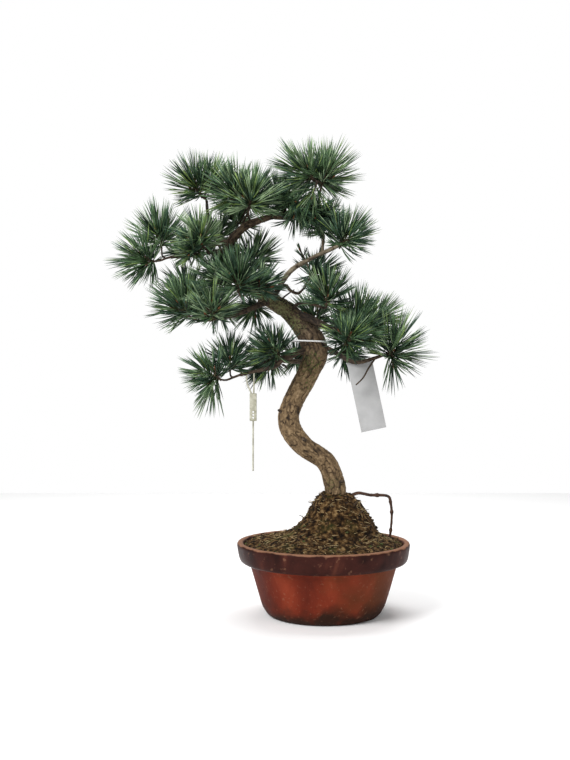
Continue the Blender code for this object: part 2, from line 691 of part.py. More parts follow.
def distance_to(points, stretches):
    starts, ends = stretches
    axes = ends - starts
    offsets = points[:, None, :] - starts[None]
    share = np.clip((offsets * axes[None]).sum(axis=2) / (axes ** 2).sum(axis=1), 0, 1)
    return np.linalg.norm(offsets - share[:, :, None] * axes[None], axis=2).min(axis=1)


def stays_in(root, tip, own, others, wood):
    """True where a needle stays nearer to its own mass's twigs than to another's, and clear of the wood."""
    share = np.linspace(0.05, 1, 8)[:, None]
    points = (1 - share) * root + share * tip
    room = NEEDLE_RADIUS * (1 - share[:, 0]) + GAP
    inside = distance_to(points, own) + 2 * room <= distance_to(points, others)
    return bool(inside.all() and (wood.clearance(points) >= room).all())


def spray(tuft, own, others, wood, chance):
    """A shoot as a slim core of triangles, with a needle drawn out of as many of them as the tuft asks for."""
    bud, way, reach, spread, count = tuft
    way = unit(way)
    side = unit(np.cross(way, (0.17, -0.53, 0.83)))
    up = np.cross(way, side)
    length = SHOOT_BEHIND + SHOOT_AHEAD
    points, faces = [], []
    rows = len(SHOOT_WIDTHS)
    for row, width in enumerate(SHOOT_WIDTHS):
        middle = shoot_foot(tuft) + way * length * row / rows
        for k in range(SHOOT_SIDES):
            turn = 2 * math.pi * (k + row / 2) / SHOOT_SIDES
            points.append(middle + SHOOT_RADIUS * width * (math.cos(turn) * side + math.sin(turn) * up))
    points.append(shoot_foot(tuft) + way * length)
    for row in range(rows - 1):
        low = row * SHOOT_SIDES
        high = low + SHOOT_SIDES
        for k in range(SHOOT_SIDES):
            after = (k + 1) % SHOOT_SIDES
            faces.append((low + k, low + after, high + k))
            faces.append((low + after, high + after, high + k))
    last = (rows - 1) * SHOOT_SIDES
    faces += [(last + k, last + (k + 1) % SHOOT_SIDES, len(points) - 1) for k in range(SHOOT_SIDES)]
    chance.shuffle(faces)
    cover = [tuple(reversed(range(SHOOT_SIDES)))]
    for number, face in enumerate(faces):
        root = sum(points[k] for k in face) / 3
        offset = root - shoot_foot(tuft)
        share = float(np.dot(offset, way)) / length
        outwards = unit(offset - way * np.dot(offset, way))
        lean = math.radians(spread) * (1 - share) ** 0.8 + NEEDLE_TIP_ANGLE * share
        lean += chance.uniform(-NEEDLE_JITTER, NEEDLE_JITTER)
        swing = np.cross(way, outwards) * chance.uniform(-NEEDLE_JITTER, NEEDLE_JITTER)
        aim = unit(math.cos(lean) * way + math.sin(lean) * outwards + swing)
        full = (reach - SHOOT_AHEAD) * chance.uniform(0.90, 1.08)
        tips = [root + aim * full * shorter for shorter in NEEDLE_SHORTER]
        tip = next((t for t in tips if number < count and stays_in(root, t, own, others, wood)), None)
        if tip is None:
            cover.append(face)
            continue
        points.append(tip)
        a, b, c = face
        cover += [(a, b, len(points) - 1), (b, c, len(points) - 1), (c, a, len(points) - 1)]
    return points, cover


def stem_start(carrier, limbs, wood, first_tuft):
    """Where a mass's stem leaves its limb, and which way, GAP clear of the wood."""
    if isinstance(carrier, str):
        route = limbs[carrier][:, :3]
        heading = unit(route[-1] - route[-2])
        start = route[-1]
    else:
        start = np.array(carrier)
        heading = unit(shoot_foot(first_tuft) - start)
    route = np.array([start, start + heading * STEM_SEARCH])
    return first_clear(route, np.full(2, STEM_RADIUS), TWIG_SIDES, wood)[0, :3], heading


def add_mass(name, tufts, routes, own, others, wood, chance):
    parts = []
    for number, route in enumerate(routes):
        first, last = (STEM_RADIUS, TWIG_RADIUS) if number == 0 else (TWIG_RADIUS, TWIG_RADIUS * 0.9)
        ahead = route[-1] + unit(route[-1] - route[-2]) * TWIG_INTO_SHOOT
        full = np.vstack([route, ahead])
        parts.append(tube(full, np.linspace(first, last, len(full)), TWIG_SIDES))
    for tuft in tufts:
        parts.append(spray(tuft, own, others, wood, chance))
    pieces = [add_piece(name + "_part", *part) for part in parts]
    base = pieces.pop(0)
    base.name = base.data.name = name
    weld(base, pieces)
    base.data.materials.append(surface(name, "needles"))


def add_masses(limbs, wood):
    grown = {}
    for name, (carrier, tufts) in MASSES.items():
        start, heading = stem_start(carrier, limbs, wood, tufts[0])
        routes = grow_twigs(start, heading, tufts, wood)
        grown[name] = (tufts, routes, skeleton(routes, tufts))
    for number, (name, (tufts, routes, own)) in enumerate(grown.items()):
        rest = [stretches for other, (_, _, stretches) in grown.items() if other != name]
        others = (np.vstack([s for s, _ in rest]), np.vstack([e for _, e in rest]))
        add_mass(name, tufts, routes, own, others, wood, random.Random(SEED + number))


def main():
    clear_file()
    wood = Standing()
    add_pot()
    add_soil()
    limbs = add_trunk(wood)
    for name, (foot_radius, tip_radius, bends) in LIMBS.items():
        limbs[name] = add_limb(name, foot_radius, tip_radius, bends, wood)
    add_root(wood)
    add_tag(wood)
    add_tie(wood)
    add_label(wood)
    add_masses(limbs, wood)


main()
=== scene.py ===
"""A japanese white pine bonsai in a worn clay nursery pot, in a soft white studio.

Metres, +Z up, +X to the right and -Y towards the camera. The origin is the middle of the pot's flat
underside.
"""

import math
import random

import bpy
import numpy as np
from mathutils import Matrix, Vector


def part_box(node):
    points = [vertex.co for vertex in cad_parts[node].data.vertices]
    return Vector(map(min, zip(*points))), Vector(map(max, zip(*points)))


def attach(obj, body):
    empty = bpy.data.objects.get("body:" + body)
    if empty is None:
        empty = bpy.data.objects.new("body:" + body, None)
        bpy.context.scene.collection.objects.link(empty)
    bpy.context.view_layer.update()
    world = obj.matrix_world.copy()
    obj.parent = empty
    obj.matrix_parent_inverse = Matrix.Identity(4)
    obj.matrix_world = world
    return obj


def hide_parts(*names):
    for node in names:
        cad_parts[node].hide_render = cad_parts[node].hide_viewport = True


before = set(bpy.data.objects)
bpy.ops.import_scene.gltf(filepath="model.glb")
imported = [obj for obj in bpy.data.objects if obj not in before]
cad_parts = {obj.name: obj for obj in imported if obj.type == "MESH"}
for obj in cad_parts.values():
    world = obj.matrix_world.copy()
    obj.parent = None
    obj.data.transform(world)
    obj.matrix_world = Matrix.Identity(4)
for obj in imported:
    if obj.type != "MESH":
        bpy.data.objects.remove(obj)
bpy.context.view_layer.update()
bpy.ops.object.select_all(action="DESELECT")


# The pot
# A round nursery pot, turned in clay: a red-brown body with painted shade towards the right and along the
# foot, and a thick rim band under a dark purple-brown glaze, worn through to tan clay along the lip, with a
# painted highlight on the lip's rounded front edge.

POT_SIDES = 64
# The turned outline, from the underside up and over the lip to the inner wall: radius and height
POT_OUTLINE = (
    (0.0600, 0.0002),
    (0.0735, 0.0002),
    (0.0765, 0.0012),
    (0.0812, 0.0065),
    (0.0852, 0.0130),
    (0.0875, 0.0205),
    (0.0948, 0.0455),
    (0.1018, 0.0695),
    (0.1030, 0.0712),
    (0.1110, 0.0722),
    (0.1150, 0.0745),
    (0.1168, 0.0790),
    (0.1183, 0.0870),
    (0.1194, 0.0940),
    (0.1196, 0.0970),
    (0.1187, 0.0992),
    (0.1168, 0.0999),
    (0.1135, 0.0999),
    (0.1112, 0.0990),
    (0.1100, 0.0965),
    (0.1085, 0.0900),
    (0.1010, 0.0760),
    (0.0960, 0.0680),
)
POT_SMOOTHING = 2
# The wall wavers inwards by up to twice this much, from the flat foot up
POT_WOBBLE = 0.0005
WOBBLE_SCALE = 28
FOOT_HEIGHT = 0.01
RIM_START = 0.0712
RIM_EDGE = 0.0012
# The tan lip starts at this height: worn tan clay on the top, and a painted highlight on the rounded front
# edge
LIP_START = 0.0978
LIP_EDGE = 0.0014
CLAY = ((0.30, (0.068, 0.012, 0.007)), (0.50, (0.142, 0.022, 0.010)), (0.70, (0.255, 0.043, 0.018)))
# Painted shade: a darker clay along the pot's foot
FOOT_PAINTED_SHADE = (0.030, 0.013, 0.008)
# Painted shade: a dark olive clay that darkens the pot towards its right side
CLAY_PAINTED_SHADE = (0.060, 0.026, 0.009)
GLAZE = ((0.35, (0.018, 0.006, 0.005)), (0.55, (0.042, 0.012, 0.009)), (0.75, (0.110, 0.034, 0.020)))
LIP_TAN = (0.270, 0.135, 0.080)
POT_SEED = 11
# The lattice noise: a factor for each axis and for the seed, two rounds of mixing, and the keys' range
LATTICE_AXES = (73856093, 19349663, 83492791)
LATTICE_SEED = 26544357
LATTICE_MIX = ((13, 1274126177), (15, 1103515245))
LATTICE_TOP = 0x7FFFFFFF
LATTICE_HALF = 0x3FFFFFFF
# The part of the grain's values that its offset is spread over
GRAIN_RANGE = (0.3, 0.7)


def settle(piece, slot_name, *nodes):
    """Put a finished piece on the plant and hide the solids that it stands for. The slot name is not used.
    """
    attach(piece, "root")
    if nodes:
        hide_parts(*nodes)


def lattice_noise(points, scale, seed):
    """Smooth noise from -1 to 1 at each point, eased between seeded values on a lattice."""
    spots = np.asarray(points, dtype=float) * scale
    corner = np.floor(spots).astype(np.int64)
    share = spots - corner
    share = share * share * (3 - 2 * share)
    total = np.zeros(len(spots))
    for step in np.ndindex(2, 2, 2):
        cell = corner + step
        key = seed * LATTICE_SEED
        for axis, factor in enumerate(LATTICE_AXES):
            key = key ^ cell[:, axis] * factor
        for shift, factor in LATTICE_MIX:
            key = ((key ^ (key >> shift)) * factor) & LATTICE_TOP
        weight = np.prod(np.where(step, share, 1 - share), axis=1)
        total += weight * (key / LATTICE_HALF - 1)
    return total


def grain_group():
    """Cloudy grain that is fixed to the object: its amount, and an offset to both sides of nothing."""
    group = bpy.data.node_groups.new("grain", "ShaderNodeTree")
    for label in ("Scale", "Detail", "Distortion", "Reach"):
        group.interface.new_socket(name=label, in_out="INPUT", socket_type="NodeSocketFloat")
    group.interface.new_socket(name="Stretch", in_out="INPUT", socket_type="NodeSocketVector")
    for label in ("Amount", "Offset"):
        group.interface.new_socket(name=label, in_out="OUTPUT", socket_type="NodeSocketFloat")
    given = group.nodes.new("NodeGroupInput")
    result = group.nodes.new("NodeGroupOutput")
    place = group.nodes.new("ShaderNodeTexCoord")
    stretched = group.nodes.new("ShaderNodeMapping")
    group.links.new(place.outputs["Object"], stretched.inputs["Vector"])
    group.links.new(given.outputs["Stretch"], stretched.inputs["Scale"])
    clouds = group.nodes.new("ShaderNodeTexNoise")
    group.links.new(stretched.outputs["Vector"], clouds.inputs["Vector"])
    for label in ("Scale", "Detail", "Distortion"):
        group.links.new(given.outputs[label], clouds.inputs[label])
    group.links.new(clouds.outputs["Fac"], result.inputs["Amount"])
    lowest = group.nodes.new("ShaderNodeMath")
    lowest.operation = "MULTIPLY"
    lowest.inputs[1].default_value = -1
    group.links.new(given.outputs["Reach"], lowest.inputs[0])
    spread = group.nodes.new("ShaderNodeMapRange")
    spread.inputs["From Min"].default_value, spread.inputs["From Max"].default_value = GRAIN_RANGE
    group.links.new(clouds.outputs["Fac"], spread.inputs["Value"])
    group.links.new(lowest.outputs["Value"], spread.inputs["To Min"])
    group.links.new(given.outputs["Reach"], spread.inputs["To Max"])
    group.links.new(spread.outputs["Result"], result.inputs["Offset"])
    return group


class Finish:
    """A material in the making: its shader, and short ways to add the few nodes that colour it."""

    def __init__(self, name, roughness, gloss=0.25):
        self.material = bpy.data.materials.new(name)
        self.material.use_nodes = True
        self.nodes = self.material.node_tree.nodes
        self.links = self.material.node_tree.links
        self.shader = self.nodes["Principled BSDF"]
        self.shader.inputs["Roughness"].default_value = roughness
        self.shader.inputs["Specular IOR Level"].default_value = gloss

    def placed_grain(self, scale, detail, reach=0.0, stretch=(1, 1, 1), distortion=0.0):
        node = self.nodes.new("ShaderNodeGroup")
        node.node_tree = grain
        node.inputs["Scale"].default_value = scale
        node.inputs["Detail"].default_value = detail
        node.inputs["Distortion"].default_value = distortion
        node.inputs["Reach"].default_value = reach
        node.inputs["Stretch"].default_value = stretch
        return node

    def grain(self, scale, detail, stretch=(1, 1, 1), distortion=0.0):
        return self.placed_grain(scale, detail, 0.0, stretch, distortion).outputs["Amount"]

    def offset(self, scale, detail, reach):
        return self.placed_grain(scale, detail, reach).outputs["Offset"]

    def axis(self, letter):
        place = self.nodes.new("ShaderNodeTexCoord")
        split = self.nodes.new("ShaderNodeSeparateXYZ")
        self.links.new(place.outputs["Object"], split.inputs["Vector"])
        return split.outputs[letter]

    def attribute(self, name):
        node = self.nodes.new("ShaderNodeAttribute")
        node.attribute_name = name
        return node.outputs["Fac"]

    def ramp(self, factor, stops):
        node = self.nodes.new("ShaderNodeValToRGB")
        elements = node.color_ramp.elements
        for element, (place, colour) in ((elements[0], stops[0]), (elements[1], stops[-1])):
            element.position = place
            element.color = (*colour, 1)
        for place, colour in stops[1:-1]:
            elements.new(place).color = (*colour, 1)
        self.links.new(factor, node.inputs["Fac"])
        return node.outputs["Color"]

    def span(self, value, low, high, to_low=0.0, to_high=1.0):
        node = self.nodes.new("ShaderNodeMapRange")
        node.inputs["From Min"].default_value = low
        node.inputs["From Max"].default_value = high
        node.inputs["To Min"].default_value = to_low
        node.inputs["To Max"].default_value = to_high
        self.links.new(value, node.inputs["Value"])
        return node.outputs["Result"]

    def maths(self, kind, first, second):
        node = self.nodes.new("ShaderNodeMath")
        node.operation = kind
        for socket, value in zip(node.inputs, (first, second)):
            if isinstance(value, (int, float)):
                socket.default_value = value
            else:
                self.links.new(value, socket)
        return node.outputs["Value"]

    def total(self, first, second):
        return self.maths("ADD", first, second)

    def product(self, first, second):
        return self.maths("MULTIPLY", first, second)

    def mix(self, factor, first, second):
        """The first colour, giving way to the second where the factor is high."""
        node = self.nodes.new("ShaderNodeMix")
        node.data_type = "RGBA"
        self.links.new(factor, node.inputs[0])
        for socket, value in ((node.inputs[6], first), (node.inputs[7], second)):
            if isinstance(value, tuple):
                socket.default_value = (*value, 1)
            else:
                self.links.new(value, socket)
        return node.outputs[2]

    def colour(self, value):
        self.links.new(value, self.shader.inputs["Base Color"])

    def relief(self, height, strength, distance):
        node = self.nodes.new("ShaderNodeBump")
        node.inputs["Strength"].default_value = strength
        node.inputs["Distance"].default_value = distance
        self.links.new(height, node.inputs["Height"])
        self.links.new(node.outputs["Normal"], self.shader.inputs["Normal"])


def pot_material():
    """Clouded clay with painted shade towards the right and along the foot, and a chipped glaze on the rim
    up to the tan lip, which is worn clay on top and a painted highlight on its rounded front edge.
    """
    clay = Finish("clay_pot", roughness=0.5, gloss=0.05)
    body = clay.ramp(clay.grain(scale=14, detail=5, stretch=(1, 1, 0.55), distortion=0.6), CLAY)
    # Painted shade: the body darkens towards the right, away from the main light
    painted_shade_rightwards = clay.total(clay.axis("X"), clay.offset(scale=22, detail=3, reach=0.05))
    body = clay.mix(clay.product(clay.span(painted_shade_rightwards, 0.0, 0.08), 0.65), body, CLAY_PAINTED_SHADE)
    # Painted shade: the body darkens along the foot
    above_foot = clay.maths("SUBTRACT", clay.axis("Z"), clay.offset(scale=40, detail=5, reach=0.012))
    body = clay.mix(clay.span(above_foot, 0.030, 0.006), body, FOOT_PAINTED_SHADE)
    specks = clay.span(clay.grain(scale=230, detail=5), 0.60, 0.72)
    body = clay.mix(clay.product(specks, 0.25), body, LIP_TAN)
    glaze = clay.ramp(clay.grain(scale=26, detail=6, stretch=(1, 1, 0.8), distortion=0.5), GLAZE)
    chips = clay.span(clay.grain(scale=120, detail=5), 0.62, 0.70)
    glaze = clay.mix(clay.product(chips, 0.35), glaze, LIP_TAN)
    height = clay.total(clay.axis("Z"), clay.offset(scale=60, detail=4, reach=0.0012))
    rim = clay.span(height, RIM_START, RIM_START + RIM_EDGE)
    # The lip's tan is worn clay on top and a painted highlight on the rounded front edge
    lip = clay.product(clay.span(height, LIP_START, LIP_START + LIP_EDGE), 0.85)
    clay.colour(clay.mix(lip, clay.mix(rim, body, glaze), LIP_TAN))
    rough = clay.span(clay.grain(scale=35, detail=4), *GRAIN_RANGE, 0.30, 0.52)
    rough = clay.total(rough, clay.product(clay.maths("SUBTRACT", 1.0, rim), 0.16))
    clay.links.new(rough, clay.shader.inputs["Roughness"])
    clay.relief(clay.grain(scale=420, detail=6), 0.35, 0.0006)
    return clay.material


def turned_pot():
    """The pot's outline, drawn up from the foot by extruding and resizing a ring."""
    radius, height = POT_OUTLINE[0]
    bpy.ops.mesh.primitive_circle_add(vertices=POT_SIDES, radius=radius, location=(0, 0, 0),
                                      fill_type="NGON")
    piece = bpy.context.object
    piece.name = piece.data.name = "clay_pot"
    bpy.ops.object.mode_set(mode="EDIT")
    bpy.ops.mesh.select_all(action="SELECT")
    bpy.ops.transform.translate(value=(0, 0, height))
    bpy.ops.mesh.select_mode(type="EDGE")
    for next_radius, next_height in POT_OUTLINE[1:]:
        rise = (0, 0, next_height - height)
        growth = next_radius / radius
        bpy.ops.mesh.extrude_edges_move(TRANSFORM_OT_translate={"value": rise})
        bpy.ops.transform.resize(value=(growth, growth, 1), center_override=(0, 0, 0))
        radius, height = next_radius, next_height
    bpy.ops.mesh.edge_face_add()
    bpy.ops.mesh.select_all(action="SELECT")
    bpy.ops.mesh.normals_make_consistent(inside=False)
    bpy.ops.object.mode_set(mode="OBJECT")
    return piece


def apply_modifier(piece, modifier):
    bpy.ops.object.select_all(action="DESELECT")
    bpy.context.view_layer.objects.active = piece
    piece.select_set(True)
    bpy.ops.object.modifier_apply(modifier=modifier.name)


grain = grain_group()
pot = turned_pot()
smoothing = pot.modifiers.new("smoothing", "SUBSURF")
smoothing.levels = smoothing.render_levels = POT_SMOOTHING
apply_modifier(pot, smoothing)
corners = np.array([vertex.co for vertex in pot.data.vertices])
inwards = POT_WOBBLE * (lattice_noise(corners, WOBBLE_SCALE, POT_SEED) - 1)
radial = corners[:, :2] / np.linalg.norm(corners[:, :2], axis=1).clip(1e-6)[:, None]
corners[:, :2] += radial * (inwards * np.clip(corners[:, 2] / FOOT_HEIGHT, 0, 1))[:, None]
pot.data.vertices.foreach_set("co", corners.ravel())
pot.data.shade_smooth()
pot.data.materials.append(pot_material())
settle(pot, "clay_pot", "pot")


# The soil
# A brown peaty mix that heaps up to the trunk in a steep mound, and lies just below the lip elsewhere.
# Clods, straw fibres and scraps of moss lie loose on it.

# Rings of the heap, from the pot's wall up to the trunk's collar: centre in X, radius and height
SOIL_RINGS = (
    (0.000, 0.1090, 0.0940),
    (0.001, 0.1060, 0.0985),
    (0.004, 0.0900, 0.1015),
    (0.010, 0.0720, 0.1070),
    (0.016, 0.0585, 0.1150),
    (0.020, 0.0460, 0.1320),
    (0.019, 0.0345, 0.1500),
    (0.018, 0.0240, 0.1630),
    (0.017, 0.0182, 0.1670),
    (0.016, 0.0130, 0.1660),
)
SOIL_ROWS = 130
SOIL_COLUMNS = 320
# Lumps of the surface, coarse to fine: scale and height. They fade out at the pot's wall.
SOIL_LUMPS = ((90, 0.0017), (210, 0.0011), (520, 0.0005))
WALL_RADIUS = 0.1090
WALL_FADE = 0.006
WALL_LEAST = 0.2
SOIL_SEED = 21
PEAT = ((0.36, (0.005, 0.003, 0.002)), (0.48, (0.030, 0.016, 0.006)), (0.58, (0.095, 0.053, 0.021)),
        (0.72, (0.240, 0.158, 0.070)))
MOSSY = (0.050, 0.062, 0.016)
MOSS_COLOURS = ((0.30, (0.025, 0.034, 0.010)), (0.70, (0.105, 0.120, 0.035)))
STRAW_COLOURS = ((0.30, (0.250, 0.165, 0.070)), (0.70, (0.560, 0.440, 0.240)))
CLOD_COUNT = 620
CLOD_SIZES = (0.0011, 0.0034)
CLOD_SQUASH = 0.75
MOSS_COUNT = 90
MOSS_SIZES = (0.0012, 0.0030)
MOSS_SQUASH = 0.5
LUMP_ROUGHNESS = 0.45
LUMP_SCALE = 1.7
LUMP_SPACING = 7.3
LUMP_SPREAD = (0.02, 0.98)
STRAW_COUNT = 560
STRAW_LENGTHS = (0.004, 0.017)
STRAW_RADII = (0.00022, 0.00030, 0.00028, 0.00016)
STRAW_STATIONS = (-1, -0.4, 0.3, 1)
STRAW_SPREAD = (0.05, 0.97)
STRAW_TILT = (-0.25, 0.45)
STRAW_CURL = 0.35
STRAW_LIFT = 0.0006
STRAW_EDGE = 0.103
STRAW_SIDES = 4
# A heading that no thread follows, so that a side can be worked out across every one
THREAD_CROSS = (0.31, -0.22, 0.92)


def array_piece(name, points, faces, material, values=None, tints=None):
    """One mesh from arrays of points and of faces with the same number of corners."""
    points = np.asarray(points, dtype=np.float32)
    faces = np.asarray(faces, dtype=np.int32)
    mesh = bpy.data.meshes.new(name)
    mesh.vertices.add(len(points))
    mesh.vertices.foreach_set("co", points.ravel())
    mesh.loops.add(faces.size)
    mesh.loops.foreach_set("vertex_index", faces.ravel())
    mesh.polygons.add(len(faces))
    mesh.polygons.foreach_set("loop_start", np.arange(0, faces.size, faces.shape[1], dtype=np.int32))
    for one in (material if isinstance(material, list) else [material]):
        mesh.materials.append(one)
    mesh.update(calc_edges=True)
    mesh.shade_smooth()
    for label, numbers in (values or {}).items():
        layer = mesh.attributes.new(label, "FLOAT", "POINT")
        layer.data.foreach_set("value", np.asarray(numbers, dtype=np.float32).ravel())
    if tints is not None:
        mesh.polygons.foreach_set("material_index", np.asarray(tints, dtype=np.int32))
    piece = bpy.data.objects.new(name, mesh)
    bpy.context.scene.collection.objects.link(piece)
    return piece


def grid_faces(rows, columns):
    """Quads between neighbouring rows of a grid whose columns close into rings."""
    row, column = np.meshgrid(np.arange(rows - 1), np.arange(columns), indexing="ij")
    after = (column + 1) % columns
    low, high = row * columns, (row + 1) * columns
    return np.stack([low + column, low + after, high + after, high + column], axis=-1).reshape(-1, 4)


def tube_faces(rows, sides):
    """Triangles of a closed tube: its wall and a fan over each end."""
    quads = grid_faces(rows, sides)
    last = (rows - 1) * sides
    caps = [(0, k + 1, k) for k in range(1, sides - 1)]
    caps += [(last, last + k, last + k + 1) for k in range(1, sides - 1)]
    return np.vstack([quads[:, (0, 1, 2)], quads[:, (0, 2, 3)], caps])


def soil_at(share, angle):
    """Points on the heaped soil: share 0 is the pot's wall and 1 the trunk's collar."""
    rings = np.array(SOIL_RINGS)
    place = np.asarray(share) * (len(rings) - 1)
    centre, radius, height = (np.interp(place, np.arange(len(rings)), rings[:, k]) for k in range(3))
    return np.stack([centre + radius * np.cos(angle), radius * np.sin(angle), height], axis=-1)


def soil_lift(points):
    """How far the lumps raise the soil at each point."""
    lift = sum(size * lattice_noise(points, scale, SOIL_SEED) for scale, size in SOIL_LUMPS)
    to_wall = WALL_RADIUS - np.linalg.norm(points[:, :2], axis=1)
    return lift * np.clip(to_wall / WALL_FADE, WALL_LEAST, 1)


def soil_material():
    peat = Finish("potting_soil", roughness=0.95, gloss=0.1)
    crumbs = peat.ramp(peat.grain(scale=170, detail=8), PEAT)
    green = peat.product(peat.span(peat.grain(scale=28, detail=4), 0.54, 0.68), 0.45)
    peat.colour(peat.mix(green, crumbs, MOSSY))
    peat.relief(peat.grain(scale=700, detail=8), 0.9, 0.0012)
    return peat.material


def loose_material(name, stops, scale):
    """Finish of small loose or scaly things: colours in grains, and a relief four times as fine."""
    loose = Finish(name, roughness=0.9)
    loose.colour(loose.ramp(loose.grain(scale, detail=4), stops))
    loose.relief(loose.grain(scale * 4, detail=4), 0.5, 0.0004)
    return loose.material


def lumps(count, sizes, squash, chance, seed):
    """Small rough lumps that lie half sunk in the soil."""
    bpy.ops.mesh.primitive_ico_sphere_add(subdivisions=3, radius=1)
    ball = bpy.context.object
    shape = np.array([vertex.co for vertex in ball.data.vertices])
    corners = np.array([face.vertices[:] for face in ball.data.polygons])
    bpy.data.objects.remove(ball, do_unlink=True)
    points, faces = [], []
    for number in range(count):
        share = 1 - math.sqrt(chance.uniform(*LUMP_SPREAD))
        spot = soil_at(share, chance.uniform(0, 2 * math.pi))
        spot = spot + (0, 0, soil_lift(spot[None])[0])
        size = chance.uniform(*sizes) * chance.uniform(0.5, 1)
        bumps = lattice_noise(shape + number * LUMP_SPACING, LUMP_SCALE, seed)[:, None]
        points.append(spot + shape * (1 + LUMP_ROUGHNESS * bumps) * size * (1, 1, squash))
        faces.append(corners + number * len(shape))
    return np.vstack(points), np.vstack(faces)


def unit(vector):
    vector = np.asarray(vector, dtype=float)
    return vector / np.linalg.norm(vector, axis=-1, keepdims=True)


def threads(routes, radii, sides):
    """Closed thin tubes along routes that all have the same number of points."""
    routes = np.asarray(routes, dtype=float)
    count, steps = routes.shape[:2]
    tangents = unit(np.gradient(routes, axis=1))
    side = unit(np.cross(tangents, THREAD_CROSS))
    up = np.cross(tangents, side)
    angles = np.arange(sides) * 2 * math.pi / sides
    ring = np.cos(angles)[:, None] * side[:, :, None] + np.sin(angles)[:, None] * up[:, :, None]
    points = routes[:, :, None] + ring * np.asarray(radii)[..., None, None]
    faces = tube_faces(steps, sides)[None] + (np.arange(count) * steps * sides)[:, None, None]
    return points.reshape(-1, 3), faces.reshape(-1, 3)


def straw_routes(chance):
    """Short curled fibres that lie at all headings on the soil, inside the lip."""
    routes = []
    for _ in range(STRAW_COUNT):
        share = 1 - math.sqrt(chance.uniform(*STRAW_SPREAD))
        spot = soil_at(share, chance.uniform(0, 2 * math.pi))
        spot = spot + (0, 0, soil_lift(spot[None])[0] + STRAW_LIFT)
        heading = chance.uniform(0, 2 * math.pi)
        reach = chance.uniform(*STRAW_LENGTHS) / 2
        way = np.array((math.cos(heading), math.sin(heading), chance.uniform(*STRAW_TILT)))
        curl = np.array((-way[1], way[0], 0.6)) * chance.uniform(-STRAW_CURL, STRAW_CURL)
        route = [spot + way * reach * t + curl * reach * (t * t - 0.5) for t in STRAW_STATIONS]
        if max(np.linalg.norm(point[:2]) for point in route) < STRAW_EDGE:
            routes.append(route)
    return routes


shares = np.linspace(0, 1, SOIL_ROWS)[:, None]
turns = (np.arange(SOIL_COLUMNS) * 2 * math.pi / SOIL_COLUMNS)[None]
ground = soil_at(shares + 0 * turns, turns + 0 * shares).reshape(-1, 3)
ground[:, 2] += soil_lift(ground)
soil = array_piece("potting_soil", ground, grid_faces(SOIL_ROWS, SOIL_COLUMNS), soil_material())
settle(soil, "potting_soil", "soil")

chance = random.Random(SOIL_SEED)
points, faces = lumps(CLOD_COUNT, CLOD_SIZES, CLOD_SQUASH, chance, seed=5)
clods = array_piece("soil_clods", points, faces, loose_material("soil_clods", PEAT, 240))
settle(clods, "potting_soil")
points, faces = lumps(MOSS_COUNT, MOSS_SIZES, MOSS_SQUASH, chance, seed=9)
moss = array_piece("moss_scraps", points, faces, loose_material("moss_scraps", MOSS_COLOURS, 900))
settle(moss, "potting_soil")
straws = straw_routes(chance)
points, faces = threads(straws, np.tile(STRAW_RADII, (len(straws), 1)), STRAW_SIDES)
straw = array_piece("straw_fibres", points, faces, loose_material("straw_fibres", STRAW_COLOURS, 300))
settle(straw, "potting_soil")


# The trunk and boughs
# The trunk leans left, swells at a knuckle where the lower boughs leave and doubles back at the crown. Its
# bark is tan and flaky below, dark and mossy above, and the thin boughs are near black-brown.

TRUNK_FOOT = 0.0963
TRUNK_BENDS = (
    (0.019, 0.000, TRUNK_FOOT, 0.0260),
    (0.017, 0.000, 0.150, 0.0166),
    (0.015, -0.002, 0.180, 0.0143),
    (0.002, -0.006, 0.211, 0.0134),
    (-0.028, -0.010, 0.232, 0.0136),
    (-0.046, -0.010, 0.258, 0.0145),
    (-0.044, -0.006, 0.286, 0.0140),
    (-0.020, 0.004, 0.334, 0.0152),
    (-0.011, 0.006, 0.358, 0.0180),
    (-0.018, 0.006, 0.383, 0.0168),
    (-0.046, 0.003, 0.415, 0.0125),
    (-0.085, 0.014, 0.442, 0.0096),
    (-0.123, 0.030, 0.478, 0.0082),
    (-0.133, 0.026, 0.506, 0.0072),
    (-0.111, 0.010, 0.533, 0.0058),
    (-0.074, 0.004, 0.547, 0.0042),
    (-0.053, 0.008, 0.548, 0.0028),
)
